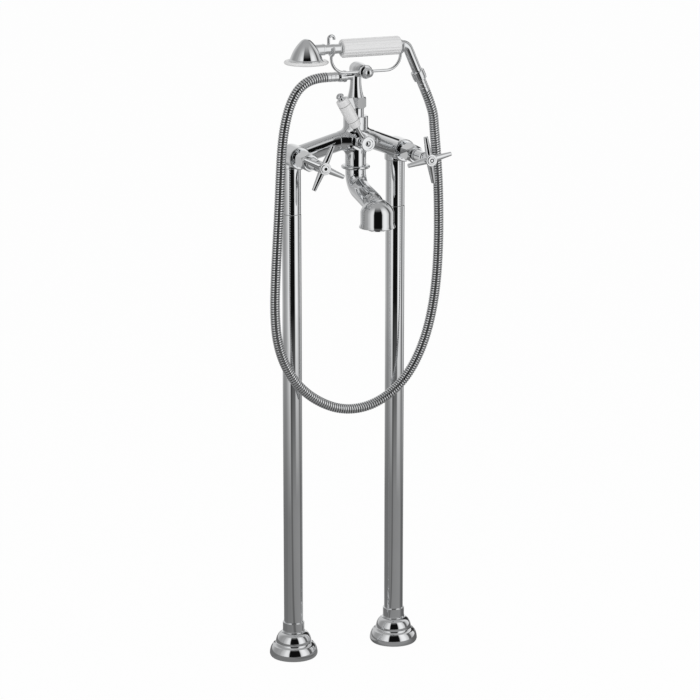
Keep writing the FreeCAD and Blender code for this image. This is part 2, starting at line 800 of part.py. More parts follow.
def mixer_body():
    """Wishbone casting: column, cross barrel, two swept arms, bosses and water passages."""
    body = new_body("mixer_body", ("0", "-body_reach", "body_height"))
    run = "(supply_spacing / 2)"
    aside = "(body_reach - arm_meets_reach)"
    down = "(body_height - valve_height)"
    tilt = Rotation(Vector(-1, 0, 0), math.degrees(math.atan2(number(down), number(aside))))
    corners = [("0", "0"), ("arm_corner", "0"), (run, "sqrt(%s ^ 2 + %s ^ 2)" % (aside, down))]
    spine = new_sketch(body, "arm_path", "XY_Plane", tilt=tilt)
    bind(spine, "AttachmentOffset.Rotation.Angle", "atan2(%s; %s)" % (down, aside))
    bent_path(spine, corners, ["arm_bend"])
    rim = new_sketch(body, "arm_section", "YZ_Plane")
    draw_circle(rim, "arm_radius")
    arm = sweep(body, "arm", rim, spine)
    mirror = body.newObject("PartDesign::Mirrored", "arms")
    mirror.Originals = [arm]
    mirror.MirrorPlane = (origin_feature(body, "YZ_Plane"), [""])
    body.Tip = mirror
    for side, sign in SIDES:
        cut = new_sketch(body, "valve_meeting_" + side, "XZ_Plane")
        draw_circle(cut, "valve_body_radius + fit", sign + run, "-" + down)
        extrude(body, "valve_seat_" + side, cut, "6 * valve_body_radius", cut=True, middle=True)

    revolve(body, "column", [
        ("0", "-body_neck_drop"),
        ("body_neck_radius - 0.5", "-body_neck_drop"),
        ("body_neck_radius", "-body_neck_drop + 0.5"),
        ("body_neck_radius", "8"),
        ("body_boss_radius", "17"),
        ("body_boss_radius", "body_boss_rise - 1.6"),
        ("body_boss_radius - 1.6", "body_boss_rise", "1.6", -1),
        ("0", "body_boss_rise"),
    ])
    sag = "(barrel_radius - barrel_end_radius)"
    revolve(body, "cross_barrel", [
        ("-barrel_half_length", "0"),
        ("-barrel_half_length", "barrel_end_radius"),
        ("barrel_half_length", "barrel_end_radius",
         "(barrel_half_length ^ 2 + %s ^ 2) / (2 * %s)" % (sag, sag), 1),
        ("barrel_half_length", "0"),
    ], axis="H_Axis")
    boss = new_sketch(body, "diverter_face", "XZ_Plane", ("0", "0", "diverter_face_reach - body_reach"))
    draw_circle(boss, "diverter_boss_radius")
    extrude(body, "diverter_boss", boss, "diverter_face_reach - body_reach", back=True)

    for name, above, radius in (("neck_blend", False, "neck_fillet"), ("boss_blend", True, "boss_fillet")):
        doc.recompute()
        base = body.Tip
        blend = body.newObject("PartDesign::Fillet", name)
        blend.Base = (base, meeting_edges(base.Shape, above))
        bind(blend, "Radius", radius)
        body.Tip = blend

    revolve(body, "column_bore", [
        ("0", "-body_neck_drop"),
        ("spigot_radius + running", "-body_neck_drop"),
        ("spigot_radius + running", "-body_neck_drop + spigot_length + 1"),
        ("passage_radius", "-body_neck_drop + spigot_length + 5"),
        ("passage_radius", "body_boss_rise - riser_seat - 2"),
        ("riser_radius - riser_wall", "body_boss_rise - riser_seat"),
        ("riser_radius + fit", "body_boss_rise - riser_seat"),
        ("riser_radius + fit", "body_boss_rise"),
        ("0", "body_boss_rise"),
    ], cut=True)
    front = new_sketch(body, "diverter_port", "XZ_Plane", ("0", "0", "diverter_face_reach - body_reach"))
    draw_circle(front, "passage_radius")
    extrude(body, "diverter_passage", front, "diverter_face_reach - body_reach", cut=True)

    bore = new_sketch(body, "passage_section", "YZ_Plane")
    draw_circle(bore, "passage_radius - 1")
    passage = sweep(body, "arm_passage", bore, spine, cut=True)
    pair = body.newObject("PartDesign::Mirrored", "arm_passages")
    pair.Originals = [passage]
    pair.MirrorPlane = (origin_feature(body, "YZ_Plane"), [""])
    body.Tip = pair
    finished("mixer_body", body)




# ---------------------------------------------------------------------------------------------
# Diverter

def diverter():
    """Bonnet, spindle, hub and cap on the front of the body, with the lever that turns them."""
    at = ("0", "0", "body_height")
    face = "diverter_face_reach"
    front = "(diverter_face_reach + diverter_bonnet_length)"
    body = new_body("diverter_bonnet", at, FORWARD)
    sketch = new_sketch(body, "diverter_hexagon", "XY_Plane", ("0", "0", face))
    draw_outline(sketch, hexagon("diverter_bonnet_radius"))
    extrude(body, "diverter_nut", sketch, "diverter_bonnet_length")
    revolve(body, "diverter_nut_chamfer", [
        ("diverter_bonnet_radius - 2.4", front + " + 0.01"),
        ("diverter_bonnet_radius + 1", front + " + 0.01"),
        ("diverter_bonnet_radius + 1", front + " - 3"),
        ("diverter_bonnet_radius", front + " - 3"),
    ], cut=True)
    revolve(body, "diverter_thread", [
        ("0", face + " - 10"),
        ("passage_radius - fit", face + " - 10"),
        ("passage_radius - fit", face),
        ("passage_radius - fit", face + " + 1"),
        ("0", face + " + 1"),
    ])
    revolve(body, "diverter_bore", [
        ("0", face + " - 10"),
        ("diverter_spindle_radius + running", face + " - 10"),
        ("diverter_spindle_radius + running", front),
        ("0", front),
    ], cut=True)
    finished("diverter_bonnet", body)

    turned("diverter_spindle", [
        ("0", face + " - 17"),
        ("diverter_spindle_radius + 2", face + " - 17"),
        ("diverter_spindle_radius + 2", face + " - 10 - gap"),
        ("diverter_spindle_radius", face + " - 10 - gap"),
        ("diverter_spindle_radius", "lever_reach + 4"),
        ("0", "lever_reach + 4"),
    ], at, FORWARD)

    turn = Rotation(Vector(0, -1, 0), 90 + number("lever_angle")) * FORWARD
    hub = new_body("diverter_hub", at, turn)
    start = "(diverter_face_reach + diverter_bonnet_length + gap)"
    end = "(2 * lever_reach - %s)" % start
    revolve(hub, "diverter_hub_turning", [
        ("diverter_spindle_radius + fit", start),
        ("diverter_hub_radius - 1", start),
        ("diverter_hub_radius", start + " + 1"),
        ("diverter_hub_radius", end + " - 0.6"),
        ("diverter_hub_radius - 0.6", end),
        ("diverter_spindle_radius + fit", end),
    ])
    socket = new_sketch(hub, "lever_socket", "YZ_Plane", ("0", "lever_reach", "diverter_hub_radius - 3.5"))
    draw_circle(socket, "lever_stem_radius + fit")
    extrude(hub, "lever_hole", socket, "diverter_hub_radius", cut=True, back=True)
    finished("diverter_hub", hub)

    cap = "(%s + diverter_cap_thickness)" % end
    turned("diverter_cap", [
        ("0", "lever_reach + 4 + fit"),
        ("diverter_spindle_radius", "lever_reach + 4 + fit"),
        ("diverter_spindle_radius", end),
        ("diverter_cap_radius - 0.8", end),
        ("diverter_cap_radius", end + " + 0.8", "0.8", -1),
        ("diverter_cap_radius", cap + " - 0.8"),
        ("diverter_cap_radius - 0.8", cap, "0.8", -1),
        ("diverter_cap_radius - 3.2", cap),
        ("diverter_cap_radius - 3.7", cap + " - 1.4"),
        ("diverter_cap_radius - 6.6", cap + " - 1.4"),
        ("0", cap + " + 0.8", cap_round("diverter_cap_radius - 6.6", "2.2"), -1),
    ], at, FORWARD)

    lean = Rotation(Vector(0, -1, 0), number("lever_angle"))
    at = ("0", "-lever_reach", "body_height")
    grip_end = "(lever_grip_start + lever_grip_length)"
    turned("lever_stem", [
        ("0", "diverter_hub_radius - 3.5 + fit"),
        ("lever_stem_radius", "diverter_hub_radius - 3.5 + fit"),
        ("lever_stem_radius", "diverter_hub_radius + 0.4"),
        ("lever_stem_radius + 1.4", "diverter_hub_radius + 0.4"),
        ("lever_stem_radius", "diverter_hub_radius + 5", "12", 1),
        ("lever_stem_radius", "lever_grip_start - 3"),
        ("lever_stem_radius + 2.2", "lever_grip_start - 1.6"),
        ("lever_stem_radius + 2.2", "lever_grip_start"),
        ("lever_core_radius", "lever_grip_start"),
        ("lever_core_radius", grip_end + " + 5"),
        ("0", grip_end + " + 5"),
    ], at, lean)
    below = "(0.55 * lever_grip_length - 1.2)"
    above = "(0.45 * lever_grip_length - 1.2)"
    foot_swell = "(lever_grip_radius - lever_grip_foot_radius)"
    top_swell = "(lever_grip_radius - lever_grip_end_radius)"
    turned("lever_grip", [
        ("lever_core_radius + fit", "lever_grip_start"),
        ("lever_grip_foot_radius - 1.2", "lever_grip_start"),
        ("lever_grip_foot_radius", "lever_grip_start + 1.2", "1.2", -1),
        ("lever_grip_radius", "lever_grip_start + 0.55 * lever_grip_length",
         "(%s ^ 2 + %s ^ 2) / (2 * %s)" % (below, foot_swell, foot_swell), -1),
        ("lever_grip_end_radius", grip_end + " - 1.2",
         "(%s ^ 2 + %s ^ 2) / (2 * %s)" % (above, top_swell, top_swell), -1),
        ("lever_grip_end_radius - 1.2", grip_end, "1.2", -1),
        ("lever_core_radius + fit", grip_end),
    ], at, lean)
    turned("lever_finial", [
        ("lever_core_radius + fit", grip_end),
        ("finial_radius - 0.6", grip_end),
        ("finial_radius - 0.6", grip_end + " + 1.4"),
        ("finial_radius - 2.2", grip_end + " + 2.4"),
        ("finial_radius", grip_end + " + finial_length / 2 + 1", "6", -1),
        ("0", grip_end + " + finial_length", cap_round("finial_radius", "finial_length / 2 - 1"), -1),
        ("0", grip_end + " + 5 + fit"),
        ("lever_core_radius + fit", grip_end + " + 5 + fit"),
    ], at, lean)


# ---------------------------------------------------------------------------------------------
# Column and cradle

def column():
    """Riser tube, clamp nut, tapered stem with the ball hub and the hose outlet."""
    at = ("0", "-body_reach", "0")
    seat = "(body_height + body_boss_rise - riser_seat)"
    tube_top = "(riser_nut_height + 1.5)"
    nut_top = "(riser_nut_height + riser_nut_length)"
    turned("riser_tube", [
        ("riser_radius - riser_wall", seat),
        ("riser_radius", seat),
        ("riser_radius", tube_top),
        ("riser_radius - riser_wall", tube_top),
    ], at)

    nut = new_body("riser_nut", at, Rotation(Vector(0, 0, 1), -12))
    sketch = new_sketch(nut, "riser_hexagon", "XY_Plane", ("0", "0", "riser_nut_height"))
    draw_outline(sketch, hexagon("riser_nut_radius"))
    extrude(nut, "riser_nut_prism", sketch, "riser_nut_length")
    for name, edge, step in (("lower", "riser_nut_height", 1), ("upper", nut_top, -1)):
        revolve(nut, "riser_nut_chamfer_" + name, [
            ("riser_nut_radius - 2.6", "%s - %s" % (edge, 0.01 * step)),
            ("riser_nut_radius + 1", "%s - %s" % (edge, 0.01 * step)),
            ("riser_nut_radius + 1", "%s + %s" % (edge, 2.6 * step)),
            ("riser_nut_radius", "%s + %s" % (edge, 2.6 * step)),
        ], cut=True)
    revolve(nut, "riser_nut_bore", [
        ("0", "riser_nut_height"),
        ("riser_radius + fit", "riser_nut_height"),
        ("riser_radius + fit", tube_top + " + 5 + fit"),
        ("stem_radius + fit", tube_top + " + 5 + fit"),
        ("stem_radius + fit", nut_top),
        ("0", nut_top),
    ], cut=True)
    finished("riser_nut", nut)

    stem = new_body("cradle_stem", at)
    revolve(stem, "stem_taper", [
        ("0", tube_top),
        ("riser_radius", tube_top),
        ("riser_radius", tube_top + " + 5"),
        ("stem_radius", tube_top + " + 5"),
        ("stem_radius", nut_top + " + 1"),
        ("stem_top_radius", nut_top + " + 26", "90", 1),
        ("stem_top_radius", "hub_height"),
        ("0", "hub_height"),
    ])
    back = "(body_reach - hub_ball_back)"
    front = "(body_reach - hub_ball_front)"
    revolve(stem, "hub_ball", [
        (front, "0"),
        (back, "0"),
        (back + " - hub_ball_radius", "hub_ball_radius", "hub_ball_radius", -1),
        (front + " + 20", "hub_ball_radius"),
        (front + " + 9", "hub_ball_radius - 0.5", "40", -1),
        (front, "hub_ball_radius - 2.7", "30", -1),
    ], plane="YZ_Plane", axis="H_Axis", shift=("0", "hub_height", "0"))
    eye_back = "(body_reach - fork_reach + fork_eye_thickness / 2)"
    revolve(stem, "hub_stud", [
        ("body_reach - fork_reach - 7", "0"),
        ("body_reach - fork_reach - 7", "stud_radius"),
        (eye_back, "stud_radius"),
        (eye_back, "stud_radius * 2"),
        (front + " + 1", "stud_radius * 2"),
        (front + " + 1", "0"),
    ], plane="YZ_Plane", axis="H_Axis", shift=("0", "hub_height", "0"))
    nut_end = "(outlet_nut_start + gap)"
    revolve(stem, "hose_outlet", [
        ("0", "0"),
        ("0", "outlet_neck_radius"),
        ("-" + nut_end, "outlet_neck_radius"),
        ("-" + nut_end, "ferrule_flange_radius"),
        ("-" + nut_end + " - 7", "ferrule_flange_radius"),
        ("-" + nut_end + " - 7", "0"),
    ], axis="H_Axis", shift=("0", "outlet_height", "0"))
    revolve(stem, "stem_bore", [
        ("0", tube_top),
        ("water_bore + 4", tube_top),
        ("water_bore + 4", tube_top + " + 8"),
        ("water_bore", tube_top + " + 13"),
        ("water_bore", "outlet_height"),
        ("0", "outlet_height + 3"),
    ], cut=True)
    revolve(stem, "outlet_bore", [
        ("0", "0"),
        ("0", "water_bore - 1.5"),
        ("-" + nut_end + " - 7", "water_bore - 1.5"),
        ("-" + nut_end + " - 7", "0"),
    ], axis="H_Axis", shift=("0", "outlet_height", "0"), cut=True)
    finished("cradle_stem", stem)

    turned("cradle_knob", [
        ("stud_radius + fit", "fork_reach + fork_eye_thickness / 2"),
        ("knob_radius + 2", "fork_reach + fork_eye_thickness / 2"),
        ("knob_radius + 2.6", "fork_reach + fork_eye_thickness / 2 + 0.8", "0.8", -1),
        ("knob_radius + 1.6", "fork_reach + fork_eye_thickness / 2 + 2"),
        ("knob_radius - 1.6", "fork_reach + fork_eye_thickness / 2 + 3.6"),
        ("knob_radius", "knob_reach", "knob_radius + 0.2", -1),
        ("0", "knob_reach + knob_radius", "knob_radius", -1),
        ("0", "fork_reach + 7 + fit"),
        ("stud_radius + fit", "fork_reach + 7 + fit"),
    ], ("0", "0", "hub_height"), FORWARD)


def cradle_fork():
    """Wire fork: a wide U, a saddle on each upright, a prong with a curl, an eye in the middle."""
    fork = new_body("cradle_fork", ("0", "-fork_reach", "handset_height"))
    left_saddle = "(tube_radius + saddle_gap + fork_wire_radius)"
    right_saddle = "(end_ring_radius + saddle_gap + fork_wire_radius)"
    floor_line = "(hub_height - handset_height)"
    spine = new_sketch(fork, "fork_path", "XZ_Plane")
    bent_path(spine, [
        ("-fork_left", "-" + left_saddle),
        ("-fork_left", floor_line),
        ("fork_right", floor_line),
        ("fork_right", "-" + right_saddle),
    ], ["fork_bend", "fork_bend"])
    wire = new_sketch(fork, "fork_wire", "XY_Plane", ("0", "0", "-" + left_saddle))
    draw_circle(wire, "fork_wire_radius", "-fork_left", "0")
    sweep(fork, "fork_uprights", wire, spine)
    eye = new_sketch(fork, "eye_outline", "XZ_Plane")
    draw_circle(eye, "fork_eye_radius", "0", floor_line)
    extrude(fork, "eye", eye, "fork_eye_thickness", middle=True)

    for side, across, saddle in (("left", "-fork_left", left_saddle), ("right", "fork_right", right_saddle)):
        section = new_sketch(fork, "saddle_section_" + side, "XZ_Plane")
        draw_circle(section, "fork_wire_radius", across, "-" + saddle)
        ring = fork.newObject("PartDesign::Revolution", "saddle_" + side)
        ring.Profile = section
        ring.ReferenceAxis = (section, ["H_Axis"])
        ring.Angle = 180.0
        ring.Midplane = True
        for name, sign in (("front", ""), ("back", "-")):
            if side == "left" and name == "back":
                continue
            revolve(fork, "lip_%s_%s" % (side, name), [
                ("0", "0"),
                ("fork_wire_radius", "0"),
                ("fork_wire_radius", "lip_rise"),
                ("0", "lip_rise + fork_wire_radius", "fork_wire_radius", -1),
            ], shift=(across, "0", sign + saddle))
    curl = new_sketch(fork, "curl_path", "XZ_Plane", ("0", "0", "-" + left_saddle))
    over = "(2 * curl_radius + 0.2 - fork_left)"
    bent_path(curl, [
        ("-fork_left", "0"),
        ("-fork_left", "prong_rise"),
        (over, "prong_rise"),
        (over, "prong_rise - curl_radius - 1.5"),
    ], ["curl_radius", "curl_radius"])
    prong = new_sketch(fork, "prong_wire", "XY_Plane")
    draw_circle(prong, "fork_wire_radius", "-fork_left", left_saddle)
    sweep(fork, "prong", prong, curl)
    bore = new_sketch(fork, "eye_bore", "XZ_Plane")
    draw_circle(bore, "stud_radius + fit", "0", floor_line)
    extrude(fork, "eye_hole", bore, "2 * fork_eye_thickness", cut=True, middle=True)
    finished("cradle_fork", fork)


# ---------------------------------------------------------------------------------------------
# Hose and its fittings

def hose_ferrule(label, at, turn):
    """End fitting of the hose: flange, neck for the nut's lip, sleeve with two crimped lines."""
    far = "(ferrule_neck_length + ferrule_length)"
    points = [
        ("water_bore - 1.5", "0"),
        ("ferrule_flange_radius", "0"),
        ("ferrule_flange_radius", "ferrule_neck_length / 2"),
        ("ferrule_neck_radius", "ferrule_neck_length / 2"),
        ("ferrule_neck_radius", "ferrule_neck_length"),
        ("ferrule_radius - 0.6", "ferrule_neck_length"),
        ("ferrule_radius", "ferrule_neck_length + 0.6"),
    ]
    for line in ("0.3", "0.7"):
        spot = "(ferrule_neck_length + %s * ferrule_length)" % line
        points += [
            ("ferrule_radius", spot + " - 0.6"),
            ("ferrule_radius - 0.5", spot),
            ("ferrule_radius", spot + " + 0.6"),
        ]
    points += [
        ("ferrule_radius", far),
        ("water_bore - 1.5", far),
    ]
    return turned(label, points, at, turn)


def hose_ends():
    """Nuts, washers and ferrules where the hose joins the column and the handset."""
    spigot_end = "(outlet_nut_start + gap + 7)"
    flange = "(%s + washer_thickness)" % spigot_end
    lip = "(%s + ferrule_neck_length / 2 + fit)" % flange
    at = ("0", "-body_reach", "outlet_height")
    nut_end = "(outlet_nut_start + outlet_nut_length)"
    turned("hose_nut_lower", [
        ("outlet_neck_radius + gap", "outlet_nut_start"),
        ("outlet_nut_radius - 0.9", "outlet_nut_start"),
        ("outlet_nut_radius", "outlet_nut_start + 0.9", "0.9", -1),
        ("outlet_nut_radius", "outlet_nut_start + 3.2"),
        ("outlet_nut_radius - 0.6", "outlet_nut_start + 3.6"),
        ("outlet_nut_radius - 0.6", nut_end + " - 3"),
        ("outlet_nut_radius - 1.4", nut_end),
        ("ferrule_neck_radius + fit", nut_end),
        ("ferrule_neck_radius + fit", lip),
        ("ferrule_flange_radius + fit", lip),
        ("ferrule_flange_radius + fit", "outlet_nut_start + gap"),
        ("outlet_neck_radius + gap", "outlet_nut_start + gap"),
    ], at, TO_LEFT)
    turned("hose_washer_lower", [
        ("water_bore - 1", spigot_end),
        ("ferrule_flange_radius - 0.3", spigot_end),
        ("ferrule_flange_radius - 0.3", flange),
        ("water_bore - 1", flange),
    ], at, TO_LEFT)
    hose_ferrule("hose_ferrule_lower", ("-" + flange, "-body_reach", "outlet_height"), TO_LEFT)

    tilt = Rotation(Vector(0, 1, 0), 180 - number("tail_angle"))
    across = "(tail_corner + tail_length * sin(tail_angle))"
    high = "(handset_height - tail_length * cos(tail_angle))"
    at = (across, "-fork_reach", high)
    half = "tail_nut_length / 2"
    lip = "(1 + washer_thickness + ferrule_neck_length / 2 + fit)"
    turned("hose_nut_upper", [
        ("tail_spigot_radius + fit", "-" + half),
        ("tail_nut_radius - 1.2", "-" + half),
        ("tail_nut_radius", "-" + half + " + 1.2", "1.2", -1),
        ("tail_nut_radius", half + " - 4"),
        ("tail_nut_radius - 0.5", half + " - 3.6"),
        ("tail_nut_radius - 0.5", half + " - 1"),
        ("tail_nut_radius - 1.5", half, "1", -1),
        ("ferrule_neck_radius + fit", half),
        ("ferrule_neck_radius + fit", lip),
        ("tail_spigot_radius + fit", lip),
    ], at, tilt)
    turned("hose_washer_upper", [
        ("water_bore - 1", "1"),
        ("tail_spigot_radius - 0.3", "1"),
        ("tail_spigot_radius - 0.3", "1 + washer_thickness"),
        ("water_bore - 1", "1 + washer_thickness"),
    ], at, tilt)
    seat = "(1 + washer_thickness)"
    hose_ferrule("hose_ferrule_upper", (
        across + " + %s * sin(tail_angle)" % seat,
        "-fork_reach",
        high + " - %s * cos(tail_angle)" % seat,
    ), tilt)


# Points that the free hose is drawn towards, left to right, below the two ferrules.
HOSE_ROUTE = [
    (-78.3, -46.4, 957.6), (-103.2, -46.5, 943.1), (-117.5, -46.8, 918.0), (-122.6, -47.1, 886.5),
    (-126.2, -47.5, 849.0), (-129.0, -48.2, 806.0), (-132.0, -49.2, 757.0), (-136.0, -50.4, 701.0),
    (-140.2, -51.6, 645.0), (-142.3, -52.6, 592.0), (-138.5, -53.3, 543.0), (-123.5, -53.8, 499.5),
    (-100.0, -54.1, 466.5), (-67.0, -54.6, 440.0), (-27.0, -55.4, 423.5), (16.0, -56.8, 423.6),
    (56.0, -58.4, 441.5), (88.0, -59.8, 472.0), (111.5, -61.6, 516.0), (126.0, -63.2, 567.0),
    (134.0, -64.6, 622.0), (136.5, -66.2, 680.0), (135.8, -68.2, 736.0), (133.2, -70.4, 784.0),
    (128.4, -73.0, 830.0), (123.0, -76.6, 867.5),
]


def hose_path():
    """Straight runs joined by tangent arcs from one ferrule to the other."""
    lean = math.radians(number("tail_angle"))
    along = Vector(math.sin(lean), 0, -math.cos(lean))
    start = Vector(-number("outlet_nut_start + gap + 7 + washer_thickness + ferrule_neck_length"
                           " + ferrule_length"), -number("body_reach"), number("outlet_height"))
    nut = Vector(number("tail_corner"), -number("fork_reach"), number("handset_height"))
    nut = nut + along * number("tail_length")
    end = nut + along * number("1 + washer_thickness + ferrule_neck_length + ferrule_length + gap")
    spots = [start] + [Vector(*point) for point in HOSE_ROUTE]
    spots = spots + [end + along * 34.0, end]
    edges = []
    radii = []
    here = start
    for before, corner, after in zip(spots, spots[1:], spots[2:]):
        inward = (before - corner)
        outward = (after - corner)
        trim = 0.45 * min(inward.Length, outward.Length)
        inward = inward.normalize()
        outward = outward.normalize()
        half_turn = (math.pi - inward.getAngle(outward)) / 2
        radius = trim / math.tan(half_turn)
        radii.append(radius)
        middle = corner + (inward + outward).normalize() * (radius / math.cos(half_turn) - radius)
        edges.append(Part.LineSegment(here, corner + inward * trim).toShape())
        here = corner + outward * trim
        edges.append(Part.Arc(corner + inward * trim, middle, here).toShape())
    edges.append(Part.LineSegment(here, end).toShape())
    print("hose bends: least radius %.1f, all %s" % (min(radii), [round(radius) for radius in radii]))
    return Part.Wire(edges)


def station(edges, distance):
    """Place and direction at a distance along the path."""
    left = distance
    for edge in edges:
        if left <= edge.Length or edge is edges[-1]:
            where = edge.getParameterByLength(min(max(left, 0), edge.Length))
            return edge.valueAt(where), edge.tangentAt(where)
        left = left - edge.Length


def ring(edges, distance, radius):
    """A circle square to the path, its seam on the side that faces the front."""
    spot, along = station(edges, distance)
    circle = Part.Circle(spot, along, radius)
    front = Vector(0, -1, 0)
    circle.XAxis = (front - along * front.dot(along)).normalize()
    return Part.Wire(circle.toShape())


def shower_hose():
    """Ribbed metal hose: a bore, and ribs that follow the path of the route."""
    path = hose_path()
    edges = path.Edges
    length = path.Length
    count = int(number("hose_rib_count"))
    pitch = length / count
    valley = number("hose_valley_radius")
    crest = number("hose_radius")
    bore = number("hose_bore_radius")
    outer = []
    inner = [ring(edges, 0, bore)]
    for rib in range(count):
        for part, radius in ((0.0, valley), (0.2, crest), (0.7, crest), (0.9, valley)):
            outer.append(ring(edges, (rib + part) * pitch, radius))
        inner.append(ring(edges, (rib + 1) * pitch, bore))
    outer.append(ring(edges, length, valley))
    solid = Part.makeLoft(outer, True, True).cut(Part.makeLoft(inner, True, True))
    section = 0.0
    for step, near, far in ((0.2, valley, crest), (0.5, crest, crest), (0.2, crest, valley), (0.1, valley, valley)):
        section = section + step * math.pi * (near * near + near * far + far * far) / 3
    expected = (section - math.pi * bore * bore) * length
    print("hose length %.1f, volume %.0f, section times length %.0f" % (length, solid.Volume, expected))
    hose = doc.addObject("Part::Feature", "shower_hose")
    hose.Shape = solid
    finished("shower_hose", hose)


# ---------------------------------------------------------------------------------------------
# Handset

def handset():
    """Rose, neck with its core, porcelain grip, end ring and bent tail."""
    at = ("0", "-fork_reach", "handset_height")
    grip_end = "(grip_length - grip_start)"
    boss_end = "(rose_dome_radius + 2.2 - rose_reach)"
    neck = new_body("handset_neck", at)
    revolve(neck, "neck_turning", [
        (boss_end + " - 5", "core_radius - 2"),
        (boss_end + " - 5", "core_radius"),
        (boss_end, "core_radius"),
        (boss_end, "tube_radius + 1.4"),
        (boss_end + " + 2.4", "tube_radius + 1.4"),
        (boss_end + " + 3.4", "tube_radius"),
        ("-grip_start - 4", "tube_radius"),
        ("-grip_start - 1.6", "neck_flare_radius", "5", 1),
        ("-grip_start", "neck_flare_radius"),
        ("-grip_start", "core_radius"),
        (grip_end + " + 3", "core_radius"),
        (grip_end + " + 3", "core_radius - 2"),
    ], axis="H_Axis")
    finished("handset_neck", neck)

    grip = new_body("ceramic_grip", at)
    revolve(grip, "grip_turning", [
        ("-grip_start", "core_radius + fit"),
        ("-grip_start", "grip_radius - grip_edge_radius"),
        ("-grip_start + grip_edge_radius", "grip_radius", "grip_edge_radius", 1),
        (grip_end + " - grip_edge_radius", "grip_radius"),
        (grip_end, "grip_radius - grip_edge_radius", "grip_edge_radius", 1),
        (grip_end, "core_radius + fit"),
    ], axis="H_Axis")
    flute = new_sketch(grip, "flute_section", "YZ_Plane",
                       ("0", "grip_radius + flute_radius - flute_depth", "-grip_start"))
    draw_circle(flute, "flute_radius")
    groove = extrude(grip, "flute", flute, "grip_length", cut=True, back=True)
    ring_pattern(grip, "flutes", groove, "X_Axis", "flute_count")
    finished("ceramic_grip", grip)

    collar = new_body("grip_end_ring", at)
    far = "(%s + end_ring_length)" % grip_end
    revolve(collar, "end_ring_turning", [
        (grip_end, "tube_radius + fit"),
        (grip_end, "end_ring_radius"),
        (far + " - 1", "end_ring_radius"),
        (far, "end_ring_radius - 1", "1", 1),
        (far, "tube_radius + fit"),
    ], axis="H_Axis")
    finished("grip_end_ring", collar)

    tail = new_body("handset_elbow", at)
    spine = new_sketch(tail, "tail_path", "XZ_Plane")
    tip = ("tail_corner + (tail_length + 1) * sin(tail_angle)", "-(tail_length + 1) * cos(tail_angle)")
    bent_path(spine, [(grip_end, "0"), ("tail_corner", "0"), tip], ["tail_bend"])
    outer = new_sketch(tail, "tail_section", "YZ_Plane", ("0", "0", grip_end))
    draw_circle(outer, "tube_radius")
    sweep(tail, "tail_tube", outer, spine)
    square = Rotation(Vector(0, 1, 0), 180 - number("tail_angle"))
    flange = new_sketch(tail, "tail_spigot_section", "XY_Plane", tilt=square)
    flange.AttachmentOffset = Placement(
        Vector(number(tip[0]), 0, number(tip[1])), square)
    bind(flange, "AttachmentOffset.Base.x", tip[0])
    bind(flange, "AttachmentOffset.Base.z", tip[1])
    draw_circle(flange, "tail_spigot_radius")
    extrude(tail, "tail_spigot", flange, "tail_nut_length / 2 + 1 - gap", back=True)
    inner = new_sketch(tail, "tail_bore_section", "YZ_Plane", ("0", "0", grip_end))
    draw_circle(inner, "core_radius + fit")
    sweep(tail, "tail_bore", inner, spine, cut=True)
    finished("handset_elbow", tail)
    rose()


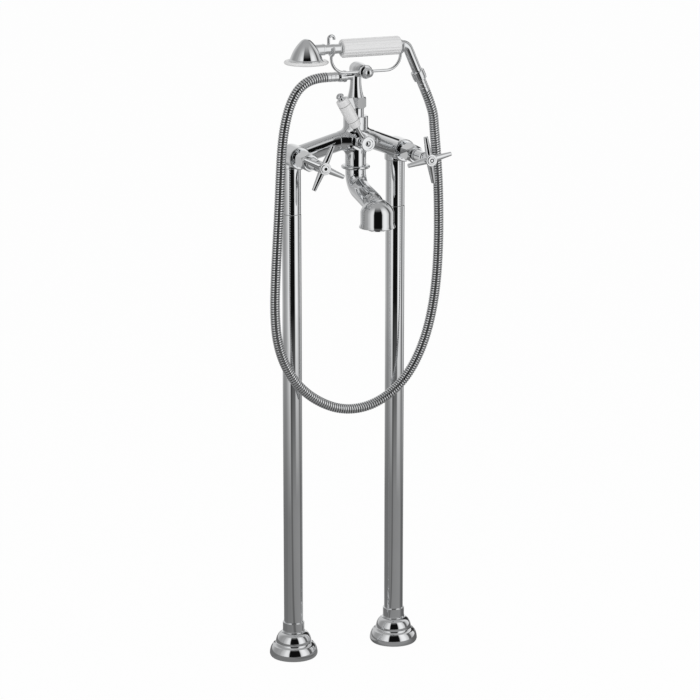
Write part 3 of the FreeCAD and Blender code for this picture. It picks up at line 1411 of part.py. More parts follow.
def rose():
    """Bell shaped rose with a boss for the neck, a white rim and a drilled spray face."""
    at = ("-rose_reach", "-fork_reach", "0")
    rim_top = "(rose_bottom + rose_rim_height)"
    shoulder = "(rose_bottom + rose_rim_height + 2.2)"
    crown = cap_round("rose_crown_radius", "rose_crown_rise")
    inner_share = "((%s - rose_wall) / %s)" % (crown, crown)
    inner_crown = "(rose_top - %s + %s * (%s - rose_crown_rise))" % (crown, inner_share, crown)
    dome = new_body("rose_dome", at)
    revolve(dome, "dome_turning", [
        ("0", "rose_bottom + rose_face_thickness - 1"),
        ("rose_face_radius", "rose_bottom + rose_face_thickness - 1"),
        ("rose_face_radius", rim_top),
        ("rose_flange_radius", rim_top),
        ("rose_flange_radius", rim_top + " + 0.8"),
        ("rose_dome_radius + 0.6", shoulder + " - 0.3", "4", 1),
        ("rose_dome_radius", shoulder),
        ("rose_crown_radius", "rose_top - rose_crown_rise", "rose_side_arc", -1),
        ("0", "rose_top", crown, -1),
    ])
    boss = new_sketch(dome, "neck_boss_section", "YZ_Plane", ("0", "handset_height", "rose_dome_radius - 17"))
    draw_circle(boss, "tube_radius + 1")
    extrude(dome, "neck_boss", boss, "19.2")
    revolve(dome, "dome_hollow", [
        ("0", "rose_bottom + rose_face_thickness - 1"),
        ("rose_face_radius - rose_wall", "rose_bottom + rose_face_thickness - 1"),
        ("rose_face_radius - rose_wall", rim_top + " + 1"),
        ("rose_dome_radius - rose_wall", shoulder),
        (inner_share + " * rose_crown_radius", inner_crown, "rose_side_arc - rose_wall", -1),
        ("0", "rose_top - rose_wall", crown + " - rose_wall", -1),
    ], cut=True)
    port = new_sketch(dome, "neck_port", "YZ_Plane", ("0", "handset_height", "0"))
    draw_circle(port, "core_radius + fit")
    extrude(dome, "neck_hole", port, "2 * rose_dome_radius", cut=True, back=True)
    finished("rose_dome", dome)

    turned("rose_ring", [
        ("rose_face_radius + fit", "rose_bottom"),
        ("rose_rim_radius - 2.6", "rose_bottom"),
        ("rose_rim_radius", "rose_bottom + rose_rim_height / 2", "2.9", -1),
        ("rose_rim_radius - 2.6", rim_top, "2.9", -1),
        ("rose_face_radius + fit", rim_top),
    ], at)

    face = new_body("spray_face", at)
    revolve(face, "face_turning", [
        ("0", "rose_bottom - 1"),
        ("rose_face_radius - 0.8", "rose_bottom - 1"),
        ("rose_face_radius", "rose_bottom - 0.2"),
        ("rose_face_radius", "rose_bottom + rose_face_thickness - 1"),
        ("0", "rose_bottom + rose_face_thickness - 1"),
    ])
    for circle in range(1, 5):
        hole = new_sketch(face, "spray_hole_%d" % circle, "XY_Plane", ("0", "0", "rose_bottom - 1"))
        draw_circle(hole, "spray_hole_radius", "%d * spray_ring_pitch" % circle, "0")
        drilled = extrude(face, "spray_cut_%d" % circle, hole, "rose_face_thickness", cut=True, back=True)
        ring_pattern(face, "spray_ring_%d" % circle, drilled, "Z_Axis", str(6 * circle))
    finished("spray_face", face)


# ---------------------------------------------------------------------------------------------
# Spout

def spout():
    """Ring under the body, seal, S shaped pipe with its bell mouth, aerator."""
    at = ("0", "-body_reach", "0")
    top = "(body_height - body_neck_drop)"
    bead = "(ring_height / 2)"
    turned("spout_ring", [
        ("body_neck_radius + fit", top),
        ("ring_radius - %s" % bead, top),
        ("ring_radius", top + " + %s" % bead, bead, -1),
        ("ring_radius - %s" % bead, top + " + ring_height", bead, -1),
        ("body_neck_radius + fit", top + " + ring_height"),
    ], at)

    pipe_top = "(%s - gap)" % top
    first = "(%s - spout_drop - spout_bend * tan(spout_slope / 2))" % pipe_top
    second = "(%s - spout_projection / tan(spout_slope))" % first
    low = "(%s - spout_bend * tan(spout_slope / 2) - 2)" % second
    body = new_body("spout_pipe", at)
    spine = new_sketch(body, "spout_path", "YZ_Plane")
    bent_path(spine, [("0", pipe_top), ("0", first), ("-spout_projection", second),
                      ("-spout_projection", low)], ["spout_bend", "spout_bend"])
    section = new_sketch(body, "spout_section", "XY_Plane", ("0", "0", pipe_top))
    draw_circle(section, "spout_radius")
    sweep(body, "spout_tube", section, spine)
    groove = "(%s + spigot_length / 2)" % pipe_top
    revolve(body, "spigot", [
        ("0", pipe_top + " - 1"),
        ("spigot_radius", pipe_top + " - 1"),
        ("spigot_radius", groove + " - seal_size"),
        ("spigot_radius - seal_size", groove + " - seal_size"),
        ("spigot_radius - seal_size", groove + " + seal_size"),
        ("spigot_radius", groove + " + seal_size"),
        ("spigot_radius", pipe_top + " + spigot_length - 0.6"),
        ("spigot_radius - 0.6", pipe_top + " + spigot_length"),
        ("0", pipe_top + " + spigot_length"),
    ])
    mouth = ("-spout_projection", "0", "0")
    waist = "(mouth_height + bell_waist_rise)"
    shoulder = "(mouth_height + bell_shoulder_rise)"
    dome = "(mouth_height + bell_dome_rise)"
    step = "(bell_dome_rise - bell_shoulder_rise)"
    round_top = cap_round("bell_waist_radius", step)
    revolve(body, "bell", [
        ("0", "mouth_height"),
        ("mouth_radius - 0.8", "mouth_height"),
        ("mouth_radius", "mouth_height + 0.8", "0.8", -1),
        ("mouth_radius - 0.4", "mouth_height + 1.8"),
        ("bell_waist_radius", waist, "12", 1),
        ("bell_waist_radius", shoulder),
        ("0", dome, round_top, -1),
    ], plane="YZ_Plane", shift=mouth)
    seat = "(mouth_height + 5.5)"
    revolve(body, "bell_hollow", [
        ("0", "mouth_height"),
        ("mouth_bore", "mouth_height"),
        ("mouth_bore", seat),
        ("bell_waist_radius - bell_wall - 1", seat),
        ("bell_waist_radius - bell_wall - 1", shoulder + " - 4"),
        ("0", dome + " - bell_wall - 1.5",
         cap_round("bell_waist_radius - bell_wall - 1", "(%s - bell_wall + 2.5)" % step), -1),
    ], plane="YZ_Plane", shift=mouth, cut=True)
    bore = new_sketch(body, "spout_bore_section", "XY_Plane", ("0", "0", pipe_top))
    draw_circle(bore, "spigot_radius - seal_size - spout_wall")
    sweep(body, "spout_bore", bore, spine, cut=True)
    revolve(body, "spigot_bore", [
        ("0", pipe_top + " - 1"),
        ("spigot_radius - seal_size - spout_wall", pipe_top + " - 1"),
        ("spigot_radius - seal_size - spout_wall", pipe_top + " + spigot_length"),
        ("0", pipe_top + " + spigot_length"),
    ], cut=True)
    finished("spout_pipe", body)

    turned("spout_seal", [
        ("spigot_radius - seal_size + fit", groove + " - seal_size + fit"),
        ("spigot_radius + fit", groove + " - seal_size + fit"),
        ("spigot_radius + fit", groove + " + seal_size - fit"),
        ("spigot_radius - seal_size + fit", groove + " + seal_size - fit"),
    ], at)

    outlet = new_body("aerator", ("0", "-body_reach - spout_projection", "0"))
    bottom = "(mouth_height - aerator_drop)"
    revolve(outlet, "aerator_turning", [
        ("0", bottom + " + 4"),
        ("aerator_bore", bottom + " + 4"),
        ("aerator_bore", bottom),
        ("aerator_radius - 0.6", bottom),
        ("aerator_radius", bottom + " + 0.6"),
        ("aerator_radius", "mouth_height + 1"),
        ("mouth_bore - fit", "mouth_height + 1.6"),
        ("mouth_bore - fit", seat),
        ("0", seat),
    ])
    for circle, count in ((1, 6), (2, 12)):
        hole = new_sketch(outlet, "stream_hole_%d" % circle, "XY_Plane", ("0", "0", bottom + " + 4"))
        draw_circle(hole, "aerator_bore / 8", "%d * aerator_bore / 2.7" % circle, "0")
        drilled = extrude(outlet, "stream_cut_%d" % circle, hole, "bell_shoulder_rise", cut=True, back=True)
        ring_pattern(outlet, "stream_ring_%d" % circle, drilled, "Z_Axis", str(count))
    finished("aerator", outlet)


# ---------------------------------------------------------------------------------------------
# The whole filler

for side, sign in SIDES:
    floor_flange(side, sign)
    floor_plate(side, sign)
    socket_collar(side, sign)
    collar_seal(side, sign)
    inlet_tail(side, sign)
    lower_pipe(side, sign)
    pipe_coupling(side, sign)
    upper_pipe(side, sign)
    valve_body(side, sign)
    headwork(side, sign)
    valve_cartridge(side, sign)
    spindle(side, sign)
    cross_handle(side, sign)
    index_button(side, sign)
mixer_body()
diverter()
column()
cradle_fork()
hose_ends()
shower_hose()
handset()
spout()
doc.recompute()

faults = [item.Name for item in doc.Objects if "Invalid" in item.State or "Error" in item.State]
for piece in nodes:
    shape = piece.Shape
    if shape.isNull() or not shape.isValid() or len(shape.Solids) != 1:
        faults.append(piece.Label)
if faults:
    raise RuntimeError("pieces with faults: " + ", ".join(faults))

os.makedirs("parts", exist_ok=True)
for piece in nodes:
    piece.Shape.exportStep("parts/%s.step" % piece.Label)
    box = piece.Shape.BoundBox
    print("%-22s %9.0f mm3  x %7.1f %7.1f  y %7.1f %7.1f  z %7.1f %7.1f" % (
        piece.Label, piece.Shape.Volume, box.XMin, box.XMax, box.YMin, box.YMax, box.ZMin, box.ZMax))
print("%d pieces" % len(nodes))
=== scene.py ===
import json
import math

import bmesh
import bpy
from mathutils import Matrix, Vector


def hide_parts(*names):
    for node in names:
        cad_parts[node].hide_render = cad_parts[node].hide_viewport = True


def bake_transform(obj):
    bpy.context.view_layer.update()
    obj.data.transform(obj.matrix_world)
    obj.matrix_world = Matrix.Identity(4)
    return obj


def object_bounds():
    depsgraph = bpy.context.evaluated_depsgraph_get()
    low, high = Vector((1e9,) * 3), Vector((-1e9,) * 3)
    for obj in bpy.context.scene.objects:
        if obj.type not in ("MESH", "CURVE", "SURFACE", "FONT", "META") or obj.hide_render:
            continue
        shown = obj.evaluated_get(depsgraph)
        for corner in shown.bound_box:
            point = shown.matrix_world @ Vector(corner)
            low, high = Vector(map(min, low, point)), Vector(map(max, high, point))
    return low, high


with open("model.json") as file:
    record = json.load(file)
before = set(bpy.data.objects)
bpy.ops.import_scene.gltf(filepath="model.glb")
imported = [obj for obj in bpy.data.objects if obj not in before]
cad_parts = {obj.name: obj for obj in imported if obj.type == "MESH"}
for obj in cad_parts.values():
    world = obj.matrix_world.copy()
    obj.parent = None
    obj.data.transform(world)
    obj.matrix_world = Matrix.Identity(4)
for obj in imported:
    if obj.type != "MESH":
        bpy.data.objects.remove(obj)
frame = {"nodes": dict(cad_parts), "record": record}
cad_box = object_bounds()
nodes = frame["nodes"]
scene = bpy.context.scene

# Camera: metres and degrees, for a picture of 700 by 700
CAMERA_AZIMUTH = -24.0
CAMERA_ELEVATION = 14.0
CAMERA_DISTANCE = 4.6
CAMERA_TARGET = Vector((0.01106, 0.0, 0.505))
CAMERA_LENS = 146.72

# Shower hose: control points of its centreline, in metres
HOSE_ROUTE = (
    (-0.0499, -0.0464, 0.9576),
    (-0.0700, -0.0464, 0.9576),
    (-0.0940, -0.0465, 0.9460),
    (-0.1100, -0.0468, 0.9225),
    (-0.1203, -0.0471, 0.8890),
    (-0.1260, -0.0475, 0.8500),
    (-0.1288, -0.0482, 0.8060),
    (-0.1316, -0.0492, 0.7570),
    (-0.1358, -0.0504, 0.7010),
    (-0.1396, -0.0516, 0.6450),
    (-0.1417, -0.0526, 0.5920),
    (-0.1380, -0.0533, 0.5430),
    (-0.1230, -0.0538, 0.4995),
    (-0.0995, -0.0541, 0.4660),
    (-0.0665, -0.0546, 0.4395),
    (-0.0270, -0.0554, 0.4230),
    (0.0160, -0.0568, 0.4232),
    (0.0560, -0.0584, 0.4410),
    (0.0880, -0.0598, 0.4720),
    (0.1112, -0.0616, 0.5160),
    (0.1258, -0.0632, 0.5670),
    (0.1334, -0.0646, 0.6220),
    (0.1358, -0.0662, 0.6800),
    (0.1348, -0.0682, 0.7360),
    (0.1320, -0.0704, 0.7880),
    (0.1270, -0.0730, 0.8340),
    (0.1218, -0.0766, 0.8720),
    (0.1166, -0.0820, 0.9023),
    (0.1028, -0.0820, 0.9333),
)
HOSE_CREST = 0.0079
HOSE_VALLEY = 0.0065
HOSE_FIRST_TURNS = 10
HOSE_DOUBLINGS = 5
HOSE_SIDES = 24
HOSE_STATIONS = 2500
# One turn of the strip: share of the pitch, and height from valley to crest
STRIP_PROFILE = (
    (0.0, 0.0), (0.15, 0.6), (0.22, 0.93), (0.3, 1.0), (0.7, 1.0), (0.78, 0.93), (0.85, 0.6), (1.0, 0.0),
)
# Seam between two turns, darkened as painted shade and partly as the dark seal it holds: its colour, and the
# shares of the crest's height where the darkening starts to fade and ends
GROOVE_SEAL_AND_SHADE_COLOUR = (0.02, 0.02, 0.02)
GROOVE_SEAL_AND_SHADE_START = 0.4
GROOVE_SEAL_AND_SHADE_END = 0.85

# Marks: centres of the two index buttons, and the lever with its lines, in metres
INDEX_CENTRES = {"left": (-0.09, 0.0, 0.831), "right": (0.09, 0.0, 0.831)}
INDEX_RINGS = {"left": (0.0, 0.0026), "right": (0.0026, 0.0008)}
LEVER_ANGLE = math.radians(30.0)
LEVER_FOOT = (0.0, -0.0845, 0.857)
LEVER_LINES = (0.0425, 0.0715)
LEVER_LINE = 0.0007

# Surface colours that more than one material uses, dark and light end
CHROME_DARK = (0.83, 0.84, 0.85)
CHROME_LIGHT = (0.88, 0.89, 0.90)
GLAZE_DARK = (0.82, 0.82, 0.825)
GLAZE_LIGHT = (0.87, 0.87, 0.875)
ENAMEL_BLACK = (0.01, 0.01, 0.01)
LINE_GREY = (0.12, 0.12, 0.12)
# The middle part of a noise's range, which a pattern is spread over
NOISE_LOW = 0.3
NOISE_HIGH = 0.7

# Studio floor and world
FLOOR_SIZE = 40.0
FLOOR_GREY = 0.9
FLOOR_WHITE_SHARE = 0.97
WORLD_STRENGTH = 0.55
BACKDROP_STRENGTH = 1.0
LAMP_TARGET = (0.0, 0.0, 0.6)

# Round room that only reflections show, in metres. Its tones go from near to far between the two reaches,
# and to the ceiling's tone between the two dimming heights
ROOM_SIDES = 96
ROOM_LIFT = 0.0004
ROOM_RADIUS = 3.0
WALL_HEIGHT = 3.0
CEILING_HEIGHT = 4.6
CEILING_TONE = 0.4
DIMMING_START = 2.8
DIMMING_END = 4.55
NEAR_REACH = 0.85
FAR_REACH = 2.5
# Azimuths as the camera's, 0 in front and 90 on the right, each with its grey
NEAR_TONES = (
    (-179.0, 0.18), (-100.0, 0.17), (-66.0, 0.20), (-50.0, 0.22), (-43.0, 0.13),
    (-32.0, 0.13), (-26.0, 0.24), (0.0, 0.26), (60.0, 0.28), (76.0, 0.14),
    (104.0, 0.12), (120.0, 0.38), (160.0, 0.42), (170.0, 0.20),
)
FAR_TONES = (
    (-179.0, 0.60), (-161.0, 0.60), (-136.0, 0.34), (-118.0, 0.31), (-102.0, 0.37),
    (-88.0, 0.47), (-75.0, 0.60), (-62.0, 0.84), (-49.0, 0.84), (-44.0, 0.005),
    (8.0, 0.005), (13.0, 0.75), (24.0, 0.95), (38.0, 0.95), (46.0, 0.78),
    (58.0, 0.60), (62.0, 0.12), (74.0, 0.12), (79.0, 0.50), (98.0, 0.75), (108.0, 0.80), (113.0, 0.03),
    (136.0, 0.03), (141.0, 0.90), (154.0, 0.90), (170.0, 0.6),
)


def shader(name):
    """A material with its node tree, its Principled shader, and the links."""
    material = bpy.data.materials.new(name)
    material.use_nodes = True
    tree = material.node_tree
    return material, tree, tree.nodes["Principled BSDF"]


def object_noise(tree, scale, detail=2.0, stretch=(1.0, 1.0, 1.0)):
    """Noise on Object coordinates, drawn out along an axis by stretch."""
    place = tree.nodes.new("ShaderNodeTexCoord")
    mapping = tree.nodes.new("ShaderNodeMapping")
    noise = tree.nodes.new("ShaderNodeTexNoise")
    mapping.inputs["Scale"].default_value = stretch
    noise.inputs["Scale"].default_value = scale
    noise.inputs["Detail"].default_value = detail
    tree.links.new(place.outputs["Object"], mapping.inputs["Vector"])
    tree.links.new(mapping.outputs["Vector"], noise.inputs["Vector"])
    return noise


def map_range(tree, source, start, end, low=0.0, high=1.0):
    """Goes from low to high as the source runs from start to end."""
    node = tree.nodes.new("ShaderNodeMapRange")
    node.inputs["From Min"].default_value = start
    node.inputs["From Max"].default_value = end
    node.inputs["To Min"].default_value = low
    node.inputs["To Max"].default_value = high
    tree.links.new(source, node.inputs["Value"])
    return node.outputs["Result"]


def spread(tree, source, low, high):
    """Maps the middle of a noise to the range low to high."""
    return map_range(tree, source, NOISE_LOW, NOISE_HIGH, low, high)


def tint(tree, source, dark, light):
    """Maps the middle of a noise to a run of colour."""
    ramp = tree.nodes.new("ShaderNodeValToRGB")
    ramp.color_ramp.elements[0].color = (*dark, 1.0)
    ramp.color_ramp.elements[1].color = (*light, 1.0)
    ramp.color_ramp.elements[0].position = NOISE_LOW
    ramp.color_ramp.elements[1].position = NOISE_HIGH
    tree.links.new(source, ramp.inputs["Fac"])
    return ramp.outputs["Color"]


def ripple(tree, source, bsdf, strength, distance):
    """Feeds a height into the shader's normal."""
    bump = tree.nodes.new("ShaderNodeBump")
    bump.inputs["Strength"].default_value = strength
    bump.inputs["Distance"].default_value = distance
    tree.links.new(source, bump.inputs["Height"])
    tree.links.new(bump.outputs["Normal"], bsdf.inputs["Normal"])


def metal(name, dark, light, rough_low, rough_high, wave=0.0, grain=18.0, stretch=(1.0, 1.0, 1.0)):
    """A metal whose colour, gloss and surface vary a little."""
    material, tree, bsdf = shader(name)
    bsdf.inputs["Metallic"].default_value = 1.0
    cloud = object_noise(tree, grain, 3.0, stretch)
    tree.links.new(tint(tree, cloud.outputs["Fac"], dark, light), bsdf.inputs["Base Color"])
    tree.links.new(spread(tree, cloud.outputs["Fac"], rough_low, rough_high), bsdf.inputs["Roughness"])
    if wave:
        swell = object_noise(tree, 9.0, 1.0)
        ripple(tree, swell.outputs["Fac"], bsdf, wave, 0.002)
    return material


def glossy_white(name, dark, light, rough_low, rough_high, coat, grain=14.0):
    """Glaze or gloss plastic: a clear coat over a faintly clouded body."""
    material, tree, bsdf = shader(name)
    bsdf.inputs["Coat Weight"].default_value = coat
    bsdf.inputs["Coat Roughness"].default_value = 0.03
    bsdf.inputs["IOR"].default_value = 1.5
    cloud = object_noise(tree, grain, 4.0)
    tree.links.new(tint(tree, cloud.outputs["Fac"], dark, light), bsdf.inputs["Base Color"])
    tree.links.new(spread(tree, cloud.outputs["Fac"], rough_low, rough_high), bsdf.inputs["Roughness"])
    return material


def offset_from(tree, centre):
    """Object coordinates measured from a point."""
    place = tree.nodes.new("ShaderNodeTexCoord")
    away = tree.nodes.new("ShaderNodeVectorMath")
    away.operation = "SUBTRACT"
    away.inputs[1].default_value = centre
    tree.links.new(place.outputs["Object"], away.inputs[0])
    return away.outputs["Vector"]


def within(tree, value, middle, half):
    """1 where the value is no further than half from the middle, else 0."""
    test = tree.nodes.new("ShaderNodeMath")
    test.operation = "COMPARE"
    test.inputs[1].default_value = middle
    test.inputs[2].default_value = half
    tree.links.new(value, test.inputs[0])
    return test.outputs["Value"]


def enamel(material, mask, colour):
    """Lays enamel of one colour on a material where the mask is 1, as base colour only."""
    tree = material.node_tree
    bsdf = tree.nodes["Principled BSDF"]
    over = tree.nodes.new("ShaderNodeMixRGB")
    under = bsdf.inputs["Base Color"].links[0].from_socket
    over.inputs["Color2"].default_value = (*colour, 1.0)
    tree.links.new(under, over.inputs["Color1"])
    tree.links.new(mask, over.inputs["Fac"])
    tree.links.new(over.outputs["Color"], bsdf.inputs["Base Color"])


def index_mark(name, centre, middle, half):
    """Polished chrome with a black enamel ring round a point on the front; a dot where middle is 0."""
    material = metal(name, CHROME_DARK, CHROME_LIGHT, 0.02, 0.05, wave=0.03)
    tree = material.node_tree
    flat = tree.nodes.new("ShaderNodeVectorMath")
    reach = tree.nodes.new("ShaderNodeVectorMath")
    flat.operation = "MULTIPLY"
    flat.inputs[1].default_value = (1.0, 0.0, 1.0)
    reach.operation = "LENGTH"
    tree.links.new(offset_from(tree, centre), flat.inputs[0])
    tree.links.new(flat.outputs["Vector"], reach.inputs[0])
    enamel(material, within(tree, reach.outputs["Value"], middle, half), ENAMEL_BLACK)
    return material


def lined_porcelain():
    """White glaze with two thin grey lines round it, square to the lever."""
    material = glossy_white("lined_porcelain", GLAZE_DARK, GLAZE_LIGHT, 0.16, 0.24, 0.9)
    tree = material.node_tree
    along = tree.nodes.new("ShaderNodeVectorMath")
    along.operation = "DOT_PRODUCT"
    along.inputs[1].default_value = (-math.sin(LEVER_ANGLE), 0.0, math.cos(LEVER_ANGLE))
    tree.links.new(offset_from(tree, LEVER_FOOT), along.inputs[0])
    for place in LEVER_LINES:
        enamel(material, within(tree, along.outputs["Value"], place, LEVER_LINE / 2.0), LINE_GREY)
    return material


MATERIALS = {
    "chrome": metal("polished_chrome", CHROME_DARK, CHROME_LIGHT, 0.02, 0.05, wave=0.03),
    "hose_metal": metal("chromed_hose_strip", CHROME_DARK, CHROME_LIGHT, 0.03, 0.06),
    "porcelain": glossy_white("glazed_porcelain", GLAZE_DARK, GLAZE_LIGHT, 0.16, 0.24, 0.9),
    "white_rim": glossy_white("white_rim_gloss", (0.78, 0.78, 0.78), (0.84, 0.84, 0.84), 0.20, 0.28, 0.6),
    "spray_plate": glossy_white("spray_plate_gloss", (0.72, 0.72, 0.72), (0.78, 0.78, 0.78), 0.25, 0.35, 0.3),
    "cartridge_ceramic": glossy_white("ground_ceramic", (0.70, 0.68, 0.64), (0.78, 0.76, 0.72),
                                      0.35, 0.5, 0.0),
    "brass": metal("turned_brass", (0.60, 0.44, 0.20), (0.72, 0.56, 0.28), 0.18, 0.32, grain=60.0,
                   stretch=(1.0, 1.0, 8.0)),
    "plate_steel": metal("zinc_plated_steel", (0.48, 0.49, 0.50), (0.60, 0.61, 0.62), 0.28, 0.42, grain=90.0),
}


def rubber_material():
    """Black rubber with a fine matt grain."""
    material, tree, bsdf = shader("black_rubber")
    grain = object_noise(tree, 900.0, 3.0)
    tree.links.new(tint(tree, grain.outputs["Fac"], (0.02, 0.02, 0.02), (0.045, 0.045, 0.045)),
                   bsdf.inputs["Base Color"])
    tree.links.new(spread(tree, grain.outputs["Fac"], 0.55, 0.75), bsdf.inputs["Roughness"])
    ripple(tree, grain.outputs["Fac"], bsdf, 0.2, 0.0002)
    return material


MATERIALS["rubber"] = rubber_material()


def paint_groove_seal_and_shade(material):
    """Darkens a metal towards the seam between two turns of strip, by the mesh's own crest height: painted
    shade in the grooves, partly the dark seal they hold.
    """
    tree = material.node_tree
    bsdf = tree.nodes["Principled BSDF"]
    height = tree.nodes.new("ShaderNodeAttribute")
    over = tree.nodes.new("ShaderNodeMixRGB")
    height.attribute_name = "crest"
    share = map_range(tree, height.outputs["Fac"], GROOVE_SEAL_AND_SHADE_START, GROOVE_SEAL_AND_SHADE_END)
    over.inputs["Color1"].default_value = (*GROOVE_SEAL_AND_SHADE_COLOUR, 1.0)
    under = bsdf.inputs["Base Color"].links[0].from_socket
    tree.links.new(share, over.inputs["Fac"])
    tree.links.new(under, over.inputs["Color2"])
    tree.links.new(over.outputs["Color"], bsdf.inputs["Base Color"])


# Painted shade in the hose's grooves, partly the dark seal they hold
paint_groove_seal_and_shade(MATERIALS["hose_metal"])
# Brass of the pipe couplings, painted near black as painted shade in the joint gap of the legs
JOINT_BRASS_PAINTED_SHADE = metal("brass_painted_joint_shade", (0.05, 0.045, 0.035), (0.09, 0.08, 0.06), 0.4, 0.55, grain=60.0)


def dress(node, material):
    """Gives a CAD node its material through its slots."""
    obj = nodes[node]
    if not obj.material_slots:
        obj.data.materials.append(material)
    for place in obj.material_slots:
        place.material = material


for part in frame["record"]["subparts"]:
    dress(part["node"], MATERIALS[part["material_slot"]])
# The couplings get brass painted near black, as painted shade in the joint gap
for side in ("left", "right"):
    dress("pipe_coupling_" + side, JOINT_BRASS_PAINTED_SHADE)
    dress("index_button_" + side, index_mark("index_mark_" + side, INDEX_CENTRES[side], *INDEX_RINGS[side]))
dress("lever_grip", lined_porcelain())


def add_piece(name, bm, material):
    """Turns a bmesh into an object at the origin, in one material."""
    mesh = bpy.data.meshes.new(name)
    bm.to_mesh(mesh)
    bm.free()
    mesh.materials.append(material)
    obj = bpy.data.objects.new(name, mesh)
    scene.collection.objects.link(obj)
    return obj


# Shower hose -----------------------------------------------------------


def spline_points(name, route, steps):
    """Points along the smooth spline that the route controls."""
    curve = bpy.data.curves.new(name, "CURVE")
    curve.dimensions = "3D"
    curve.resolution_u = steps
    spline = curve.splines.new("NURBS")
    spline.points.add(len(route) - 1)
    for place, point in zip(spline.points, route):
        place.co = (*point, 1.0)
    spline.order_u = 3
    spline.use_endpoint_u = True
    holder = bpy.data.objects.new(name, curve)
    scene.collection.objects.link(holder)
    bpy.context.view_layer.update()
    mesh = bpy.data.meshes.new_from_object(holder)
    points = [vertex.co.copy() for vertex in mesh.vertices]
    bpy.data.objects.remove(holder)
    bpy.data.meshes.remove(mesh)
    return points


def stations(points, count):
    """Count + 1 frames (point, side, up) at even distances along the points."""
    lengths = [0.0]
    for a, b in zip(points, points[1:]):
        lengths.append(lengths[-1] + (b - a).length)
    total = lengths[-1]
    frames = []
    index = 0
    side = Vector((0.0, 1.0, 0.0))
    for k in range(count + 1):
        distance = total * k / count
        while index < len(points) - 2 and lengths[index + 1] < distance:
            index += 1
        a, b = points[index], points[index + 1]
        share = (distance - lengths[index]) / (lengths[index + 1] - lengths[index])
        before = points[max(index - 1, 0)]
        after = points[min(index + 2, len(points) - 1)]
        along = (b - before).normalized().lerp((after - a).normalized(), share).normalized()
        side = (side - along * side.dot(along)).normalized()
        frames.append((a.lerp(b, share), side.copy(), along.cross(side)))
    return frames, total


def straight_hose(pitch, crest, valley, sides):
    """A spiral wound tube along X: one strip profile carried round and along by a screw, then doubled."""
    bm = bmesh.new()
    rise = crest - valley
    profile = [
        bm.verts.new((pitch * share, 0.0, valley + rise * height))
        for share, height in STRIP_PROFILE
    ]
    edges = [bm.edges.new(pair) for pair in zip(profile, profile[1:])]
    bmesh.ops.spin(
        bm,
        geom=profile + edges,
        cent=(0.0, 0.0, 0.0),
        axis=(1.0, 0.0, 0.0),
        dvec=(pitch / sides, 0.0, 0.0),
        angle=math.tau * HOSE_FIRST_TURNS,
        steps=sides * HOSE_FIRST_TURNS,
        use_merge=False,
        use_duplicate=False,
    )
    turns = HOSE_FIRST_TURNS
    for _ in range(HOSE_DOUBLINGS):
        copy = bmesh.ops.duplicate(bm, geom=bm.verts[:] + bm.edges[:] + bm.faces[:])
        moved = [item for item in copy["geom"] if isinstance(item, bmesh.types.BMVert)]
        bmesh.ops.translate(bm, vec=(pitch * turns, 0.0, 0.0), verts=moved)
        turns *= 2
    bmesh.ops.remove_doubles(bm, verts=bm.verts, dist=pitch * 0.02)
    return bm


def make_hose():
    """The ribbed hose, wound straight and then laid along its route."""
    points = spline_points("hose_route", HOSE_ROUTE, 24)
    frames, total = stations(points, HOSE_STATIONS)
    turns = HOSE_FIRST_TURNS * 2 ** HOSE_DOUBLINGS
    pitch = total / (turns - 2)
    bm = straight_hose(pitch, HOSE_CREST, HOSE_VALLEY, HOSE_SIDES)
    for end, outer in ((pitch, False), (pitch * (turns - 1), True)):
        bmesh.ops.bisect_plane(
            bm,
            geom=bm.verts[:] + bm.edges[:] + bm.faces[:],
            plane_co=(end, 0.0, 0.0),
            plane_no=(1.0, 0.0, 0.0),
            clear_outer=outer,
            clear_inner=not outer,
        )
    rims = [edge for edge in bm.edges if edge.is_boundary]
    bmesh.ops.holes_fill(bm, edges=rims, sides=0)
    # Height of each vertex from valley to crest, which the hose's painted groove shade reads
    crest = bm.verts.layers.float.new("crest")
    for vertex in bm.verts:
        x, y, z = vertex.co
        vertex[crest] = (math.hypot(y, z) - HOSE_VALLEY) / (HOSE_CREST - HOSE_VALLEY)
        place = (x - pitch) / total * (len(frames) - 1)
        index = min(max(int(place), 0), len(frames) - 2)
        share = place - index
        (p, s, u), (q, t, w) = frames[index], frames[index + 1]
        vertex.co = p.lerp(q, share) + s.lerp(t, share) * y + u.lerp(w, share) * z
    bmesh.ops.recalc_face_normals(bm, faces=bm.faces)
    hose = add_piece("ribbed_hose", bm, MATERIALS["hose_metal"])
    hose.data.shade_smooth()
    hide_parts("shower_hose")
    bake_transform(hose)
    return total


print("hose length", round(make_hose(), 4))


# Studio ----------------------------------------------------------------


def looked_at(tree):
    """1 where a surface is looked at, straight, in a reflection or through glass, else 0."""
    rays = tree.nodes.new("ShaderNodeLightPath")
    seen = tree.nodes.new("ShaderNodeMath")
    also = tree.nodes.new("ShaderNodeMath")
    seen.operation = "MAXIMUM"
    also.operation = "MAXIMUM"
    tree.links.new(rays.outputs["Is Camera Ray"], seen.inputs[0])
    tree.links.new(rays.outputs["Is Glossy Ray"], seen.inputs[1])
    tree.links.new(seen.outputs["Value"], also.inputs[0])
    tree.links.new(rays.outputs["Is Transmission Ray"], also.inputs[1])
    return also.outputs["Value"]


